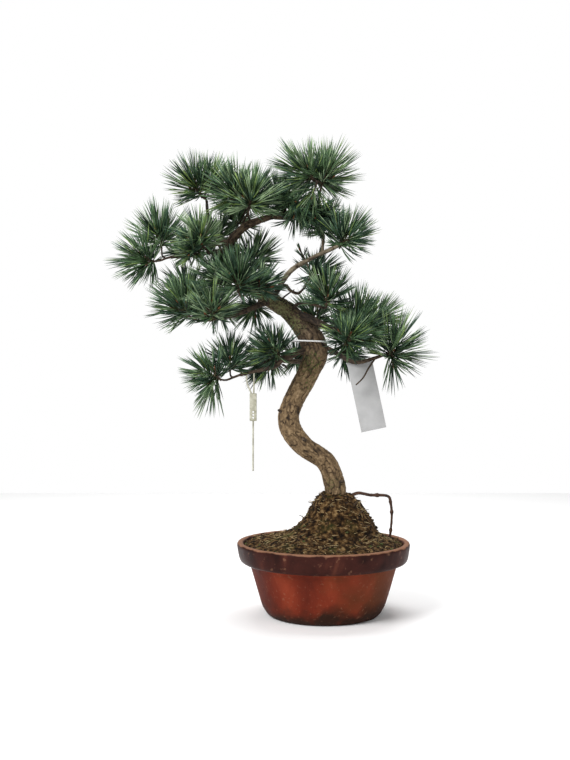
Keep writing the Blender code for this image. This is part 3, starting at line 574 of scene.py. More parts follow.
# Radius at the foot and at the tip, then the bends from inside the parent limb outwards
LIMBS = {
    "bough_high_right": (0.0036, 0.0024, (
        (-0.069, 0.004, 0.437), (-0.046, -0.004, 0.471), (-0.019, -0.012, 0.487),
        (0.008, -0.020, 0.499), (0.020, -0.024, 0.504))),
    "bough_right_leader": (0.0023, 0.0020, (
        (-0.002, -0.017, 0.494), (-0.001, -0.012, 0.508), (0.000, -0.008, 0.520))),
    "twig_curly": (0.0025, 0.0017, (
        (-0.072, 0.006, 0.430), (-0.060, -0.013, 0.446), (-0.052, -0.015, 0.451),
        (-0.045, -0.014, 0.444), (-0.035, -0.008, 0.441), (-0.027, 0.000, 0.448))),
    "twig_middle": (0.0024, 0.0018, (
        (-0.047, 0.003, 0.414), (-0.035, -0.014, 0.426), (-0.015, -0.020, 0.425), (-0.004, -0.024, 0.421))),
    "bough_right": (0.0062, 0.0038, (
        (-0.046, 0.003, 0.414), (-0.021, -0.010, 0.407), (0.012, -0.020, 0.390), (0.022, -0.025, 0.384))),
    "bough_low_right": (0.0036, 0.0022, (
        (-0.014, 0.006, 0.378), (0.020, 0.002, 0.358), (0.037, 0.000, 0.348),
        (0.053, -0.002, 0.347), (0.088, -0.006, 0.358))),
    "twig_bare": (0.0013, 0.0009, (
        (0.072, -0.004, 0.353), (0.061, -0.010, 0.337), (0.054, -0.012, 0.325), (0.044, -0.013, 0.315))),
    "bough_low_left": (0.0042, 0.0024, (
        (-0.012, 0.006, 0.366), (-0.049, -0.008, 0.355), (-0.066, -0.012, 0.341),
        (-0.084, -0.014, 0.336), (-0.114, -0.017, 0.329))),
    "bough_middle_left": (0.0042, 0.0028, (
        (-0.070, 0.009, 0.433), (-0.098, -0.014, 0.420), (-0.122, -0.024, 0.410), (-0.143, -0.030, 0.405))),
    "bough_far_left": (0.0032, 0.0022, (
        (-0.133, 0.026, 0.506), (-0.163, 0.010, 0.498), (-0.190, 0.002, 0.493), (-0.209, -0.006, 0.491))),
    "bough_upper_left": (0.0032, 0.0022, (
        (-0.131, 0.024, 0.514), (-0.150, 0.024, 0.522), (-0.159, 0.018, 0.541), (-0.162, 0.012, 0.572))),
    "bough_back_right": (0.0042, 0.0026, (
        (-0.030, 0.004, 0.398), (-0.012, 0.040, 0.400), (0.012, 0.068, 0.396))),
    "bough_back_left": (0.0036, 0.0024, (
        (-0.104, 0.022, 0.458), (-0.132, 0.052, 0.452), (-0.165, 0.075, 0.440))),
    "bough_back_low": (0.0040, 0.0026, (
        (-0.013, 0.005, 0.346), (-0.030, 0.040, 0.348), (-0.055, 0.068, 0.350))),
}
TRUNK_RINGS = 900
TRUNK_SIDES = 110
TRUNK_RELIEF = 0.0013
LIMB_RINGS = 130
LIMB_SIDES = 28
LIMB_RELIEF = 0.13
BARK_SEED = 31
# The bark's plates, cracks, flakes and swellings: the scale of each, its height and how much lighter it is
PLATES = (150, 0.45, 0.13)
CRACKS = (210, -0.9, -0.42)
FLAKES = (620, 0.28, 0.22)
SWELLINGS = (55, 0.05, 0.16)
PLATE_STEPS = 2.5
CRACK_WIDTH = 0.16
BARK_LIGHT = 0.55
# Lengthways the pattern is read at this share of the length, which makes the plates long and narrow. It
# is also warped, so that no edge runs straight.
BARK_LENGTHWAYS = 0.45
BARK_WARP = 0.0022
BARK_WARP_SCALE = 190
BARK_COLOURS = ((0.0, (0.014, 0.009, 0.005)), (0.28, (0.062, 0.039, 0.020)), (0.55, (0.145, 0.095, 0.048)),
                (0.80, (0.250, 0.172, 0.095)), (1.0, (0.360, 0.270, 0.170)))
DARK_BARK = ((0.0, (0.008, 0.006, 0.005)), (0.35, (0.030, 0.021, 0.015)), (0.70, (0.075, 0.052, 0.034)),
             (1.0, (0.170, 0.125, 0.085)))
LIGHT_BARK = ((0.0, (0.012, 0.009, 0.006)), (0.35, (0.070, 0.052, 0.034)), (0.70, (0.165, 0.135, 0.092)),
              (1.0, (0.300, 0.260, 0.180)))
LIGHT_BOUGHS = ("bough_high_right", "bough_right_leader")
# The trunk's bark darkens between these heights
DARK_FROM = 0.335
DARK_TO = 0.385
MOSS_GREEN = (0.060, 0.075, 0.018)
LICHEN = (0.205, 0.205, 0.090)
# Each patch of moss or lichen on the trunk: middle, reach and how full it is
MOSS_PATCHES = (
    ((-0.018, -0.010, 0.345), 0.022, 0.42),
    ((-0.020, -0.006, 0.318), 0.020, 0.36),
    ((-0.045, -0.006, 0.400), 0.022, 0.42),
    ((0.012, -0.010, 0.180), 0.018, 0.30),
)
LICHEN_PATCHES = (
    ((-0.078, -0.012, 0.440), 0.026, 0.80),
    ((-0.062, -0.016, 0.420), 0.024, 0.72),
    ((-0.046, -0.020, 0.396), 0.022, 0.66),
    ((-0.104, 0.008, 0.455), 0.014, 0.35),
)
PATCH_REACH = 1.4
# Broken stubs of old twigs: where each starts and ends, and its radius
STUBS = (
    ((0.020, -0.010, 0.180), (0.027, -0.018, 0.184), 0.0028),
    ((-0.026, -0.020, 0.240), (-0.029, -0.027, 0.242), 0.0032),
    ((-0.056, -0.014, 0.276), (-0.062, -0.019, 0.281), 0.0026),
    ((-0.056, -0.002, 0.343), (-0.050, -0.008, 0.338), 0.0018),
    ((-0.062, 0.006, 0.430), (-0.040, -0.006, 0.446), 0.0014),
)
STUB_POINTS = 8
STUB_RISE = 0.001
STUB_TAPER = 0.6
STUB_SIDES = 9


def smooth_route(bends, count):
    """Points at even lengths along a smooth curve through the bends, in any number of dimensions."""
    knots = np.array(bends, dtype=float)
    ends = np.vstack([2 * knots[0] - knots[1], knots, 2 * knots[-1] - knots[-2]])
    share = np.linspace(0, 1, 24, endpoint=False)[:, None]
    fine = []
    for i in range(len(knots) - 1):
        a, b, c, d = ends[i:i + 4]
        fine.append(0.5 * (2 * b + (c - a) * share + (2 * a - 5 * b + 4 * c - d) * share ** 2
                           + (3 * b - a - 3 * c + d) * share ** 3))
    fine = np.vstack([*fine, knots[-1]])
    along = lengths_along(fine[:, :3])
    wanted = np.linspace(0, along[-1], count)
    return np.column_stack([np.interp(wanted, along, fine[:, k]) for k in range(fine.shape[1])])


def lengths_along(route):
    return np.concatenate([[0], np.cumsum(np.linalg.norm(np.diff(route, axis=0), axis=1))])


def ring_frames(route):
    """A side and an up vector at each point, turned no more than the route bends."""
    tangents = unit(np.gradient(route, axis=0))
    side = np.cross(tangents[0], (0.0, 1.0, 0.0) if abs(tangents[0][2]) > 0.8 else (0.0, 0.0, 1.0))
    sides = []
    for tangent in tangents:
        side = unit(side - tangent * np.dot(side, tangent))
        sides.append(side)
    sides = np.array(sides)
    return sides, np.cross(tangents, sides)


def bark_tube(route, sides, relief, seed):
    """Rings along a limb with flaky plates and cracks, and how light the bark is at each point."""
    route, radii = route[:, :3], route[:, 3]
    side, up = ring_frames(route)
    angles = np.arange(sides) * 2 * math.pi / sides
    outwards = np.cos(angles)[None, :, None] * side[:, None] + np.sin(angles)[None, :, None] * up[:, None]
    along = lengths_along(route)
    flat = np.stack([np.cos(angles)[None] * radii[:, None], np.sin(angles)[None] * radii[:, None],
                     BARK_LENGTHWAYS * along[:, None] + 0 * angles[None]], axis=-1).reshape(-1, 3)
    warp = np.stack([lattice_noise(flat, BARK_WARP_SCALE, seed + k) for k in range(3)], axis=-1)
    warped = flat + BARK_WARP * warp
    plates = np.round(PLATE_STEPS * lattice_noise(warped, PLATES[0], seed + 3)) / PLATE_STEPS
    cracks = np.clip(1 - np.abs(lattice_noise(warped, CRACKS[0], seed + 4)) / CRACK_WIDTH, 0, 1)
    flakes = lattice_noise(flat, FLAKES[0], seed + 5)
    swellings = lattice_noise(flat, SWELLINGS[0], seed + 6)
    height = PLATES[1] * plates + CRACKS[1] * cracks + FLAKES[1] * flakes
    light = (BARK_LIGHT + PLATES[2] * plates + CRACKS[2] * cracks + FLAKES[2] * flakes
             + SWELLINGS[2] * swellings)
    shape = (len(route), sides)
    radius = radii[:, None] * (1 + SWELLINGS[1] * swellings.reshape(shape)) + relief * height.reshape(shape)
    points = route[:, None] + outwards * radius[..., None]
    return points.reshape(-1, 3), np.clip(light, 0, 1)


def bark_material(name, stops, patched=False):
    """Bark coloured by how light each plate is. The trunk's is darker above, with moss and lichen on it."""
    bark = Finish(name, roughness=0.85)
    tone = bark.total(bark.attribute("light"), bark.offset(scale=330, detail=6, reach=0.16))
    colour = bark.ramp(tone, stops)
    if patched:
        height = bark.total(bark.axis("Z"), bark.offset(scale=30, detail=3, reach=0.02))
        upper = bark.product(bark.span(height, DARK_FROM, DARK_TO), 0.8)
        colour = bark.mix(upper, colour, bark.ramp(tone, DARK_BARK))
        edge = bark.offset(scale=420, detail=6, reach=0.35)
        moss_cover = bark.span(bark.total(bark.attribute("moss"), edge), 0.35, 0.65)
        colour = bark.mix(moss_cover, colour, MOSS_GREEN)
        crust = bark.span(bark.total(bark.attribute("lichen"), edge), 0.32, 0.78, 0.0, 0.85)
        colour = bark.mix(crust, colour, LICHEN)
    bark.colour(colour)
    bark.relief(bark.grain(scale=900, detail=8), 0.6, 0.0007)
    return bark.material


def patches(points, spots):
    """How full of moss or lichen each point is, from the nearest patch."""
    best = np.zeros(len(points))
    for middle, reach, full in spots:
        away = np.linalg.norm(points - np.array(middle), axis=1)
        best = np.maximum(best, full * np.clip(PATCH_REACH - away / reach, 0, 1))
    return best


trunk_route = smooth_route(TRUNK_BENDS, TRUNK_RINGS)
points, light = bark_tube(trunk_route, TRUNK_SIDES, TRUNK_RELIEF, BARK_SEED)
points[:, 2] = np.maximum(points[:, 2], TRUNK_FOOT)
marks = {"light": light, "moss": patches(points, MOSS_PATCHES), "lichen": patches(points, LICHEN_PATCHES)}
trunk_bark = bark_material("trunk_bark", BARK_COLOURS, patched=True)
faces = tube_faces(TRUNK_RINGS, TRUNK_SIDES)
trunk = array_piece("trunk_with_bark", points, faces, trunk_bark, marks)
settle(trunk, "trunk_bark", "trunk")

dark_bark = bark_material("bough_bark", DARK_BARK)
light_bark = bark_material("light_bough_bark", LIGHT_BARK)
limb_routes = {"trunk": trunk_route[:, :3]}
faces = tube_faces(LIMB_RINGS, LIMB_SIDES)
for number, (name, (foot_radius, tip_radius, bends)) in enumerate(LIMBS.items()):
    radii = np.linspace(foot_radius, tip_radius, len(bends))
    route = smooth_route(np.column_stack([bends, radii]), LIMB_RINGS)
    points, light = bark_tube(route, LIMB_SIDES, foot_radius * LIMB_RELIEF, BARK_SEED + 9 + number)
    finish = light_bark if name in LIGHT_BOUGHS else dark_bark
    bough = array_piece(name + "_bark", points, faces, finish, {"light": light})
    settle(bough, "bough_bark", name)
    limb_routes[name] = route[:, :3]

stub_routes, stub_radii = [], []
for start, end, radius in STUBS:
    middle = (np.array(start) + end) / 2 + (0, 0, STUB_RISE)
    stub_routes.append(smooth_route((start, middle, end), STUB_POINTS))
    stub_radii.append(np.linspace(radius, radius * STUB_TAPER, STUB_POINTS))
points, faces = threads(stub_routes, stub_radii, STUB_SIDES)
light = 0.5 + 0.5 * lattice_noise(points, 500, 3)
stubs = array_piece("broken_stubs", points, faces, dark_bark, {"light": light})
settle(stubs, "bough_bark")


# The dead root
# A dry, knobbly root arches out of the mound and back into the soil by the rim. Short broken rootlets stick
# out of the mound beside it.

ROOT_RADII = (0.0024, 0.0016)
ROOT_BENDS = (
    (0.030, 0.004, 0.158), (0.048, 0.008, 0.165), (0.066, 0.012, 0.162), (0.090, 0.018, 0.160),
    (0.095, 0.020, 0.150), (0.097, 0.024, 0.128), (0.094, 0.030, 0.092))
ROOT_RINGS = 160
ROOT_SIDES = 24
ROOT_RELIEF = 0.00025
ROOT_BARK = ((0.0, (0.010, 0.006, 0.005)), (0.5, (0.060, 0.030, 0.020)), (1.0, (0.170, 0.095, 0.060)))
# Each knob: how far along the root it is, and how much it swells the radius. A knob's length is a share
# of the root's.
ROOT_KNOBS = ((0.36, 0.5), (0.55, 0.35), (0.66, 0.6), (0.86, 0.5))
KNOB_LENGTH = 0.018
# Rootlets: where each leaves the mound, and its broken end
ROOTLETS = (
    ((-0.012, -0.030, 0.150), (-0.022, -0.034, 0.158)),
    ((0.001, -0.034, 0.160), (-0.006, -0.041, 0.170)),
    ((0.040, -0.026, 0.152), (0.050, -0.032, 0.160)),
    ((0.046, -0.030, 0.140), (0.060, -0.036, 0.148)),
    ((0.052, -0.034, 0.122), (0.064, -0.042, 0.127)),
    ((-0.024, -0.020, 0.130), (-0.034, -0.026, 0.139)),
)
ROOTLET_RADII = (0.0009, 0.0004)
ROOTLET_POINTS = 7
ROOTLET_RISE = 0.002
ROOTLET_SIDES = 6

radii = np.linspace(*ROOT_RADII, len(ROOT_BENDS))
route = smooth_route(np.column_stack([ROOT_BENDS, radii]), ROOT_RINGS)
share = np.linspace(0, 1, ROOT_RINGS)
for place, size in ROOT_KNOBS:
    route[:, 3] *= 1 + size * np.exp(-((share - place) / KNOB_LENGTH) ** 2)
points, light = bark_tube(route, ROOT_SIDES, ROOT_RELIEF, BARK_SEED + 40)
root_bark = bark_material("dead_root_bark", ROOT_BARK)
faces = tube_faces(ROOT_RINGS, ROOT_SIDES)
root = array_piece("dead_root_bark", points, faces, root_bark, {"light": light})
settle(root, "dead_root_bark", "dead_root")

rootlet_routes = []
for start, end in ROOTLETS:
    middle = (np.array(start) + end) / 2 + (0, 0, ROOTLET_RISE)
    rootlet_routes.append(smooth_route((start, middle, end), ROOTLET_POINTS))
rootlet_radii = np.tile(np.linspace(*ROOTLET_RADII, ROOTLET_POINTS), (len(ROOTLETS), 1))
points, faces = threads(rootlet_routes, rootlet_radii, ROOTLET_SIDES)
light = 0.6 + 0.4 * lattice_noise(points, 700, 4)
rootlets = array_piece("rootlets", points, faces, dark_bark, {"light": light})
settle(rootlets, "dead_root_bark")


# The needles
# Each mass grows on from its bough in fine twigs that end in bud-tipped shoots. Needles stand round a shoot
# in bundles of five, blue-green with paler tips and a yellowish foot, and cup a little towards the shoot.
# Their colours also carry painted shade and painted highlights.

# The masses of needles: the limb or trunk point that each stem starts from, then its tufts. A tuft is the
# place of its bud, the way that it points, how far its needles reach, how wide they spread in degrees, and
# how many bundles it has.
TRUNK_TIP = "trunk"
MASSES = {
    "needles_far_left": ("bough_far_left", (
        ((-0.243, -0.012, 0.486), (-0.85, -0.15, 0.10), 0.056, 118, 40),
        ((-0.226, 0.010, 0.519), (-0.15, 0.10, 1.00), 0.060, 88, 38))),
    "needles_upper_left": ("bough_upper_left", (
        ((-0.174, 0.008, 0.588), (-0.40, -0.10, 0.90), 0.058, 105, 40),
        ((-0.156, 0.024, 0.596), (0.45, 0.35, 0.85), 0.052, 95, 36))),
    "needles_inner_left": ((-0.133, 0.026, 0.507), (
        ((-0.167, -0.034, 0.513), (-0.35, -0.35, 0.90), 0.050, 105, 40),)),
    "needles_inner_back": ((-0.128, 0.022, 0.517), (
        ((-0.150, 0.056, 0.524), (0.00, 0.75, 0.75), 0.050, 100, 36),)),
    "needles_crown_centre": ((-0.100, 0.007, 0.538), (
        ((-0.098, -0.026, 0.566), (0.30, -0.25, 0.90), 0.058, 100, 40),
        ((-0.121, -0.018, 0.576), (-0.60, -0.10, 0.80), 0.056, 95, 38))),
    "needles_trunk_tip": (TRUNK_TIP, (
        ((-0.044, 0.010, 0.556), (-0.05, -0.10, 1.00), 0.052, 95, 36),
        ((-0.062, 0.010, 0.572), (-0.45, 0.10, 0.90), 0.050, 90, 32))),
    "needles_crown_right": ("bough_right_leader", (
        ((0.002, 0.012, 0.536), (0.20, 0.40, 0.95), 0.052, 95, 36),
        ((0.003, -0.004, 0.602), (0.45, 0.00, 0.90), 0.060, 95, 40),
        ((-0.024, -0.012, 0.604), (-0.80, -0.10, 0.60), 0.060, 95, 38),
        ((-0.008, 0.032, 0.608), (0.10, 0.75, 0.75), 0.056, 95, 36),
        ((-0.013, -0.022, 0.580), (-0.30, -0.45, -0.85), 0.056, 55, 20))),
    "needles_high_right": ("bough_high_right", (
        ((0.028, -0.030, 0.512), (0.50, -0.25, 0.85), 0.054, 105, 40),)),
    "needles_inner_right": ("twig_curly", (
        ((-0.010, 0.024, 0.470), (0.60, 0.45, 0.45), 0.050, 100, 36),
        ((-0.026, 0.018, 0.492), (-0.40, 0.20, 0.80), 0.026, 80, 14))),
    "needles_middle_right": ("twig_middle", (
        ((0.004, -0.040, 0.433), (0.10, -0.30, 0.95), 0.054, 95, 38),)),
    "needles_right": ("bough_right", (
        ((0.044, -0.014, 0.400), (0.10, 0.05, 1.00), 0.062, 90, 40),
        ((0.072, 0.012, 0.404), (0.75, 0.35, 0.60), 0.052, 100, 38),
        ((0.030, -0.056, 0.376), (0.25, -0.70, 0.50), 0.048, 110, 38))),
    "needles_far_right": ("bough_low_right", (
        ((0.096, -0.010, 0.364), (0.45, -0.10, 0.90), 0.062, 108, 42),
        ((0.094, -0.010, 0.354), (0.05, 0.00, -1.00), 0.052, 30, 9))),
    "needles_under_right": ((-0.011, 0.006, 0.356), (
        ((0.032, 0.034, 0.357), (0.60, 0.60, -0.20), 0.044, 100, 34),)),
    "needles_inner_low_left": ((-0.013, 0.006, 0.370), (
        ((-0.068, -0.036, 0.364), (-0.45, -0.45, 0.80), 0.048, 105, 38),
        ((-0.078, 0.012, 0.344), (-0.60, 0.20, -0.65), 0.044, 90, 30))),
    "needles_low_left": ("bough_low_left", (
        ((-0.152, -0.022, 0.329), (-0.75, -0.15, 0.45), 0.052, 112, 40),
        ((-0.128, -0.004, 0.348), (0.00, 0.20, 1.00), 0.048, 92, 36),
        ((-0.150, -0.024, 0.320), (-0.25, -0.10, -1.00), 0.054, 45, 14))),
    "needles_middle_left": ("bough_middle_left", (
        ((-0.190, -0.024, 0.418), (-0.60, -0.15, 0.75), 0.060, 100, 40),
        ((-0.150, -0.046, 0.414), (0.00, -0.45, 0.90), 0.052, 100, 38),
        ((-0.192, 0.022, 0.450), (-0.40, 0.50, 0.75), 0.048, 95, 36))),
    "needles_centre_front": ((-0.098, 0.019, 0.454), (
        ((-0.114, -0.050, 0.452), (0.05, -0.45, 0.95), 0.056, 100, 40),
        ((-0.140, -0.036, 0.458), (-0.60, -0.30, 0.75), 0.050, 90, 34),
        ((-0.086, -0.036, 0.448), (0.65, -0.25, 0.70), 0.044, 90, 34))),
    "needles_centre": ((-0.131, 0.029, 0.490), (
        ((-0.097, 0.046, 0.496), (0.45, 0.35, 0.85), 0.052, 95, 38),)),
    "needles_elbow": ((-0.080, 0.012, 0.439), (
        ((-0.098, 0.046, 0.424), (-0.35, 0.75, -0.40), 0.044, 105, 34),)),
    "needles_back_centre": ((-0.118, 0.028, 0.472), (
        ((-0.140, 0.100, 0.482), (-0.30, 0.80, 0.55), 0.052, 105, 38),
        ((-0.098, 0.098, 0.462), (0.45, 0.80, 0.35), 0.050, 105, 36))),
    "needles_back_top": ((-0.118, 0.016, 0.528), (
        ((-0.104, 0.038, 0.580), (-0.05, 0.50, 0.90), 0.054, 95, 36),
        ((-0.124, 0.088, 0.556), (-0.15, 0.80, 0.60), 0.054, 105, 38))),
    "needles_back_right": ("bough_back_right", (
        ((0.030, 0.088, 0.400), (0.55, 0.70, 0.50), 0.054, 108, 38),
        ((-0.010, 0.098, 0.416), (-0.45, 0.70, 0.65), 0.052, 105, 38))),
    "needles_back_left": ("bough_back_left", (
        ((-0.190, 0.084, 0.442), (-0.75, 0.50, 0.50), 0.052, 108, 38),
        ((-0.150, 0.108, 0.428), (0.10, 0.90, 0.25), 0.050, 105, 36))),
    "needles_back_low": ("bough_back_low", (
        ((-0.076, 0.088, 0.356), (-0.65, 0.65, 0.50), 0.050, 108, 38),
        ((-0.034, 0.092, 0.352), (0.40, 0.85, 0.35), 0.048, 105, 36))),
}
NEEDLE_SEED = 5
# A shoot starts behind its bud's place and ends ahead of it
SHOOT_BEHIND = 0.012
SHOOT_AHEAD = 0.012
STEM_RADIUS = 0.0017
TWIG_RADIUS = 0.0013
TWIG_STEPS = 3
TWIG_POINTS = 10
TWIG_SIDES = 6
SHOOT_SUNK = 0.003
SHOOT_TAPER = 0.7
# A full tuft has side shoots round its own one. Their needles spread by a share of the tuft's own spread,
# which counts for no more than the widest one, in degrees.
FULL_TUFT = 30
SIDE_SHOOTS = 4
SIDE_LENGTH = (0.012, 0.020)
SIDE_LEAN = math.radians(48)
SIDE_LEAN_PLAY = (0.7, 1.2)
SIDE_TURN_PLAY = 0.2
SIDE_START = 0.008
SIDE_WIDEST = 95
SIDE_SPREAD_SHARE = 0.85
# A heading that no shoot follows, so that a side can be worked out across every one
SHOOT_CROSS = (0.17, -0.53, 0.83)
# Bundles on a tuft's own shoot and on each side shoot, as a share of the tuft's number
MAIN_BUNDLES = 0.62
SIDE_BUNDLES = 0.21
BUNDLE_OF = 5
BUNDLE_FAN = 0.15
BUNDLE_TURN_PLAY = 0.3
BUNDLE_LEAN_PLAY = 0.14
BUNDLE_CROWDING = 0.8
BUNDLE_FOOT = 0.0010
BUNDLE_LENGTH_PLAY = (0.86, 1.12)
GOLDEN_TURN = 2.39996
NEEDLE_TIP_ANGLE = math.radians(10)
NEEDLE_LENGTH_PLAY = (0.90, 1.0)
# A tuft's outline is this much of its reach at the tip, and less at the side
TIP_REACH = 1.01
SIDE_SHORTER = 0.25
NEEDLE_SIDES = 3
NEEDLE_RADIUS = 0.00076
NEEDLE_STATIONS = (0.0, 0.34, 0.70, 1.0)
NEEDLE_PROFILE = (0.70, 1.0, 0.85)
NEEDLE_BEND = 0.10
NEEDLE_DROOP = 0.01
NEEDLE_CUP = 0.18
NEEDLE_CROSS = (0.31, 0.22, 0.92)
# Smaller tufts that only the fine needles have, on the masses' own twigs
SMALL_TUFTS = {
    "needles_inner_left": (
        ((-0.176, -0.030, 0.500), (-0.20, -0.60, 0.50), 0.044, 105, 34),
        ((-0.190, 0.018, 0.504), (-0.40, 0.50, 0.50), 0.042, 100, 32)),
    "needles_trunk_tip": (
        ((-0.034, -0.014, 0.558), (0.25, -0.35, -0.60), 0.046, 85, 32),
        ((-0.012, -0.012, 0.548), (0.50, -0.30, -0.30), 0.042, 100, 32)),
    "needles_centre": (
        ((-0.124, 0.030, 0.480), (-0.30, -0.30, 0.80), 0.044, 100, 30),),
    "needles_right": (
        ((0.050, -0.040, 0.384), (0.60, -0.50, 0.30), 0.044, 100, 32),),
    "needles_middle_left": (
        ((-0.166, -0.006, 0.424), (-0.30, 0.10, 0.90), 0.048, 95, 34),),
}
# Base colours of the needles. The darkest stands for painted shade inside the masses and the palest for a
# painted highlight; the others are the needles' own colours, up to the bright tips of young shoots
TINTS = {
    "shade_tint": (0.011, 0.028, 0.014),
    "blue": (0.033, 0.074, 0.042),
    "mid": (0.062, 0.118, 0.048),
    "pale": (0.195, 0.275, 0.150),
    "young": (0.150, 0.225, 0.060),
}
# How the tints are dealt out to a mass's bundles, as weights in the order above. Masses that sit in the
# crown's shade get more of the darkest tint, as painted shade, and masses in the light more of the palest,
# as a painted highlight
USUAL = (3, 5, 5, 2, 1)
DEALS = {
    "needles_upper_left": (3, 4, 5, 1, 4),
    "needles_inner_left": (2, 3, 5, 4, 2),
    "needles_crown_right": (2, 4, 5, 4, 2),
    "needles_crown_centre": (2, 4, 5, 3, 2),
    "needles_trunk_tip": (4, 6, 4, 1, 0),
    "needles_inner_right": (6, 6, 3, 1, 0),
    "needles_centre_front": (3, 6, 4, 2, 0),
    "needles_inner_low_left": (5, 5, 3, 1, 1),
    "needles_under_right": (6, 5, 2, 1, 0),
    "needles_far_right": (2, 4, 5, 3, 2),
}
# A tuft leans to one tint for this share of its bundles, and a bundle to one for this share of its needles
TUFT_TINT_SHARE = 0.35
BUNDLE_TINT_SHARE = 0.5
# Painted light on the needles: clouds of a painted highlight this much lighter than a tint, and of painted
# shade this much darker
PALER = 1.9
PALER_BY = 0.03
DARKER = 0.55
NEEDLE_FOOT = (0.20, 0.19, 0.07)
BUD_COLOURS = ((0.30, (0.110, 0.042, 0.020)), (0.70, (0.280, 0.120, 0.050)))
BUD_LENGTH = 0.0055
BUD_RADIUS = 0.0014
BUD_STATIONS = (-0.1, 0.25, 0.6, 1.0)
BUD_PROFILE = (0.55, 1.0, 0.75, 0.12)


def needle_material(name, colour):
    needle = Finish("needles_" + name, roughness=0.45, gloss=0.22)
    pale = tuple(min(1.0, PALER * channel + PALER_BY) for channel in colour)
    dark = tuple(DARKER * channel for channel in colour)
    # Painted highlight and painted shade, in clouds across the needles
    shade = needle.ramp(needle.grain(scale=60, detail=3), ((0.32, dark), (0.52, colour), (0.74, pale)))
    tip = needle.span(needle.attribute("along"), 0.55, 1.0, 0.0, 0.35)
    foot = needle.span(needle.attribute("along"), 0.12, 0.0, 0.0, 0.6)
    needle.colour(needle.mix(foot, needle.mix(tip, shade, pale), NEEDLE_FOOT))
    return needle.material


def arc_between(start, start_way, end, end_way, steps):
    """A twig's route that leaves one way and arrives another."""
    reach = np.linalg.norm(np.subtract(end, start)) / 3
    a, b = np.array(start), np.array(start) + unit(start_way) * reach
    c, d = np.array(end) - unit(end_way) * reach, np.array(end)
    share = np.linspace(0, 1, steps + 1)[:, None]
    early = (1 - share) ** 3 * a + 3 * (1 - share) ** 2 * share * b
    return early + 3 * (1 - share) * share ** 2 * c + share ** 3 * d


def shoot_foot(tuft):
    return np.array(tuft[0]) - unit(tuft[1]) * SHOOT_BEHIND


def twig_routes(carrier, tufts):
    """One stem to the first tuft, then a twig to each other tuft from the nearest twig."""
    if isinstance(carrier, str):
        start = limb_routes[carrier][-1]
        heading = unit(start - limb_routes[carrier][-4])
    else:
        start = np.array(carrier)
        heading = unit(shoot_foot(tufts[0]) - start)
    routes = [arc_between(start, heading, shoot_foot(tufts[0]), tufts[0][1], TWIG_STEPS)]
    for tuft in tufts[1:]:
        foot = shoot_foot(tuft)
        forks = []
        for route in routes:
            forks += [(route[i], unit(route[i + 1] - route[i])) for i in range(1, len(route) - 1)]
        forks += [(route[-1], unit(route[-1] - route[-2])) for route in routes]
        place, way = min(forks, key=lambda fork: np.linalg.norm(fork[0] - foot))
        routes.append(arc_between(place, unit(way + unit(foot - place)), foot, tuft[1], TWIG_STEPS))
    return routes


def tuft_shoots(tuft, chance):
    """The tuft's own shoot and the side shoots round it, as foot, way, length, spread and bundles."""
    way = unit(tuft[1])
    spread, count = tuft[3:]
    foot = shoot_foot(tuft)
    shoots = [(foot, way, SHOOT_BEHIND + SHOOT_AHEAD, math.radians(spread), round(count * MAIN_BUNDLES))]
    if count < FULL_TUFT:
        return shoots
    side = unit(np.cross(way, SHOOT_CROSS))
    up = np.cross(way, side)
    first = chance.uniform(0, 2 * math.pi)
    side_spread = math.radians(min(spread, SIDE_WIDEST)) * SIDE_SPREAD_SHARE
    for k in range(SIDE_SHOOTS):
        turn = first + 2 * math.pi * (k + chance.uniform(-SIDE_TURN_PLAY, SIDE_TURN_PLAY)) / SIDE_SHOOTS
        outwards = math.cos(turn) * side + math.sin(turn) * up
        lean = SIDE_LEAN * chance.uniform(*SIDE_LEAN_PLAY)
        side_way = unit(math.cos(lean) * way + math.sin(lean) * outwards)
        start = foot + way * chance.uniform(0.0, SIDE_START)
        length = chance.uniform(*SIDE_LENGTH)
        shoots.append((start, side_way, length, side_spread, round(count * SIDE_BUNDLES)))
    return shoots


def tuft_bundles(tuft, shoots, chance):
    """Root, way and length of each bundle of needles round the shoots, with its shoot's way."""
    bundles = []
    bud, _, reach = tuft[:3]
    for foot, way, length, spread, count in shoots:
        side = unit(np.cross(way, SHOOT_CROSS))
        up = np.cross(way, side)
        for number in range(count):
            share = (number + chance.random()) / count
            turn = GOLDEN_TURN * number + chance.uniform(-BUNDLE_TURN_PLAY, BUNDLE_TURN_PLAY)
            outwards = math.cos(turn) * side + math.sin(turn) * up
            lean = spread * (1 - share) ** BUNDLE_CROWDING + NEEDLE_TIP_ANGLE * share
            lean += chance.uniform(-BUNDLE_LEAN_PLAY, BUNDLE_LEAN_PLAY)
            aim = unit(math.cos(lean) * way + math.sin(lean) * outwards)
            root = foot + way * length * share + outwards * BUNDLE_FOOT
            full = (reach - SHOOT_AHEAD) * chance.uniform(*BUNDLE_LENGTH_PLAY)
            room = reach * (TIP_REACH - SIDE_SHORTER * math.sin(min(lean, math.pi / 2)))
            over = np.linalg.norm(root + aim * full - np.array(bud)) - room
            bundles.append((root, aim, full - max(over, 0), way))
    return bundles


def needle_faces():
    """Triangles of one needle: its closed foot, two walls of rings and its point."""
    n = NEEDLE_SIDES
    faces = [(0, 2, 1)]
    for row in (0, n):
        for k in range(n):
            after = (k + 1) % n
            faces += [(row + k, row + after, row + n + after), (row + k, row + n + after, row + n + k)]
    faces += [(2 * n + k, 2 * n + (k + 1) % n, 3 * n) for k in range(n)]
    return np.array(faces)


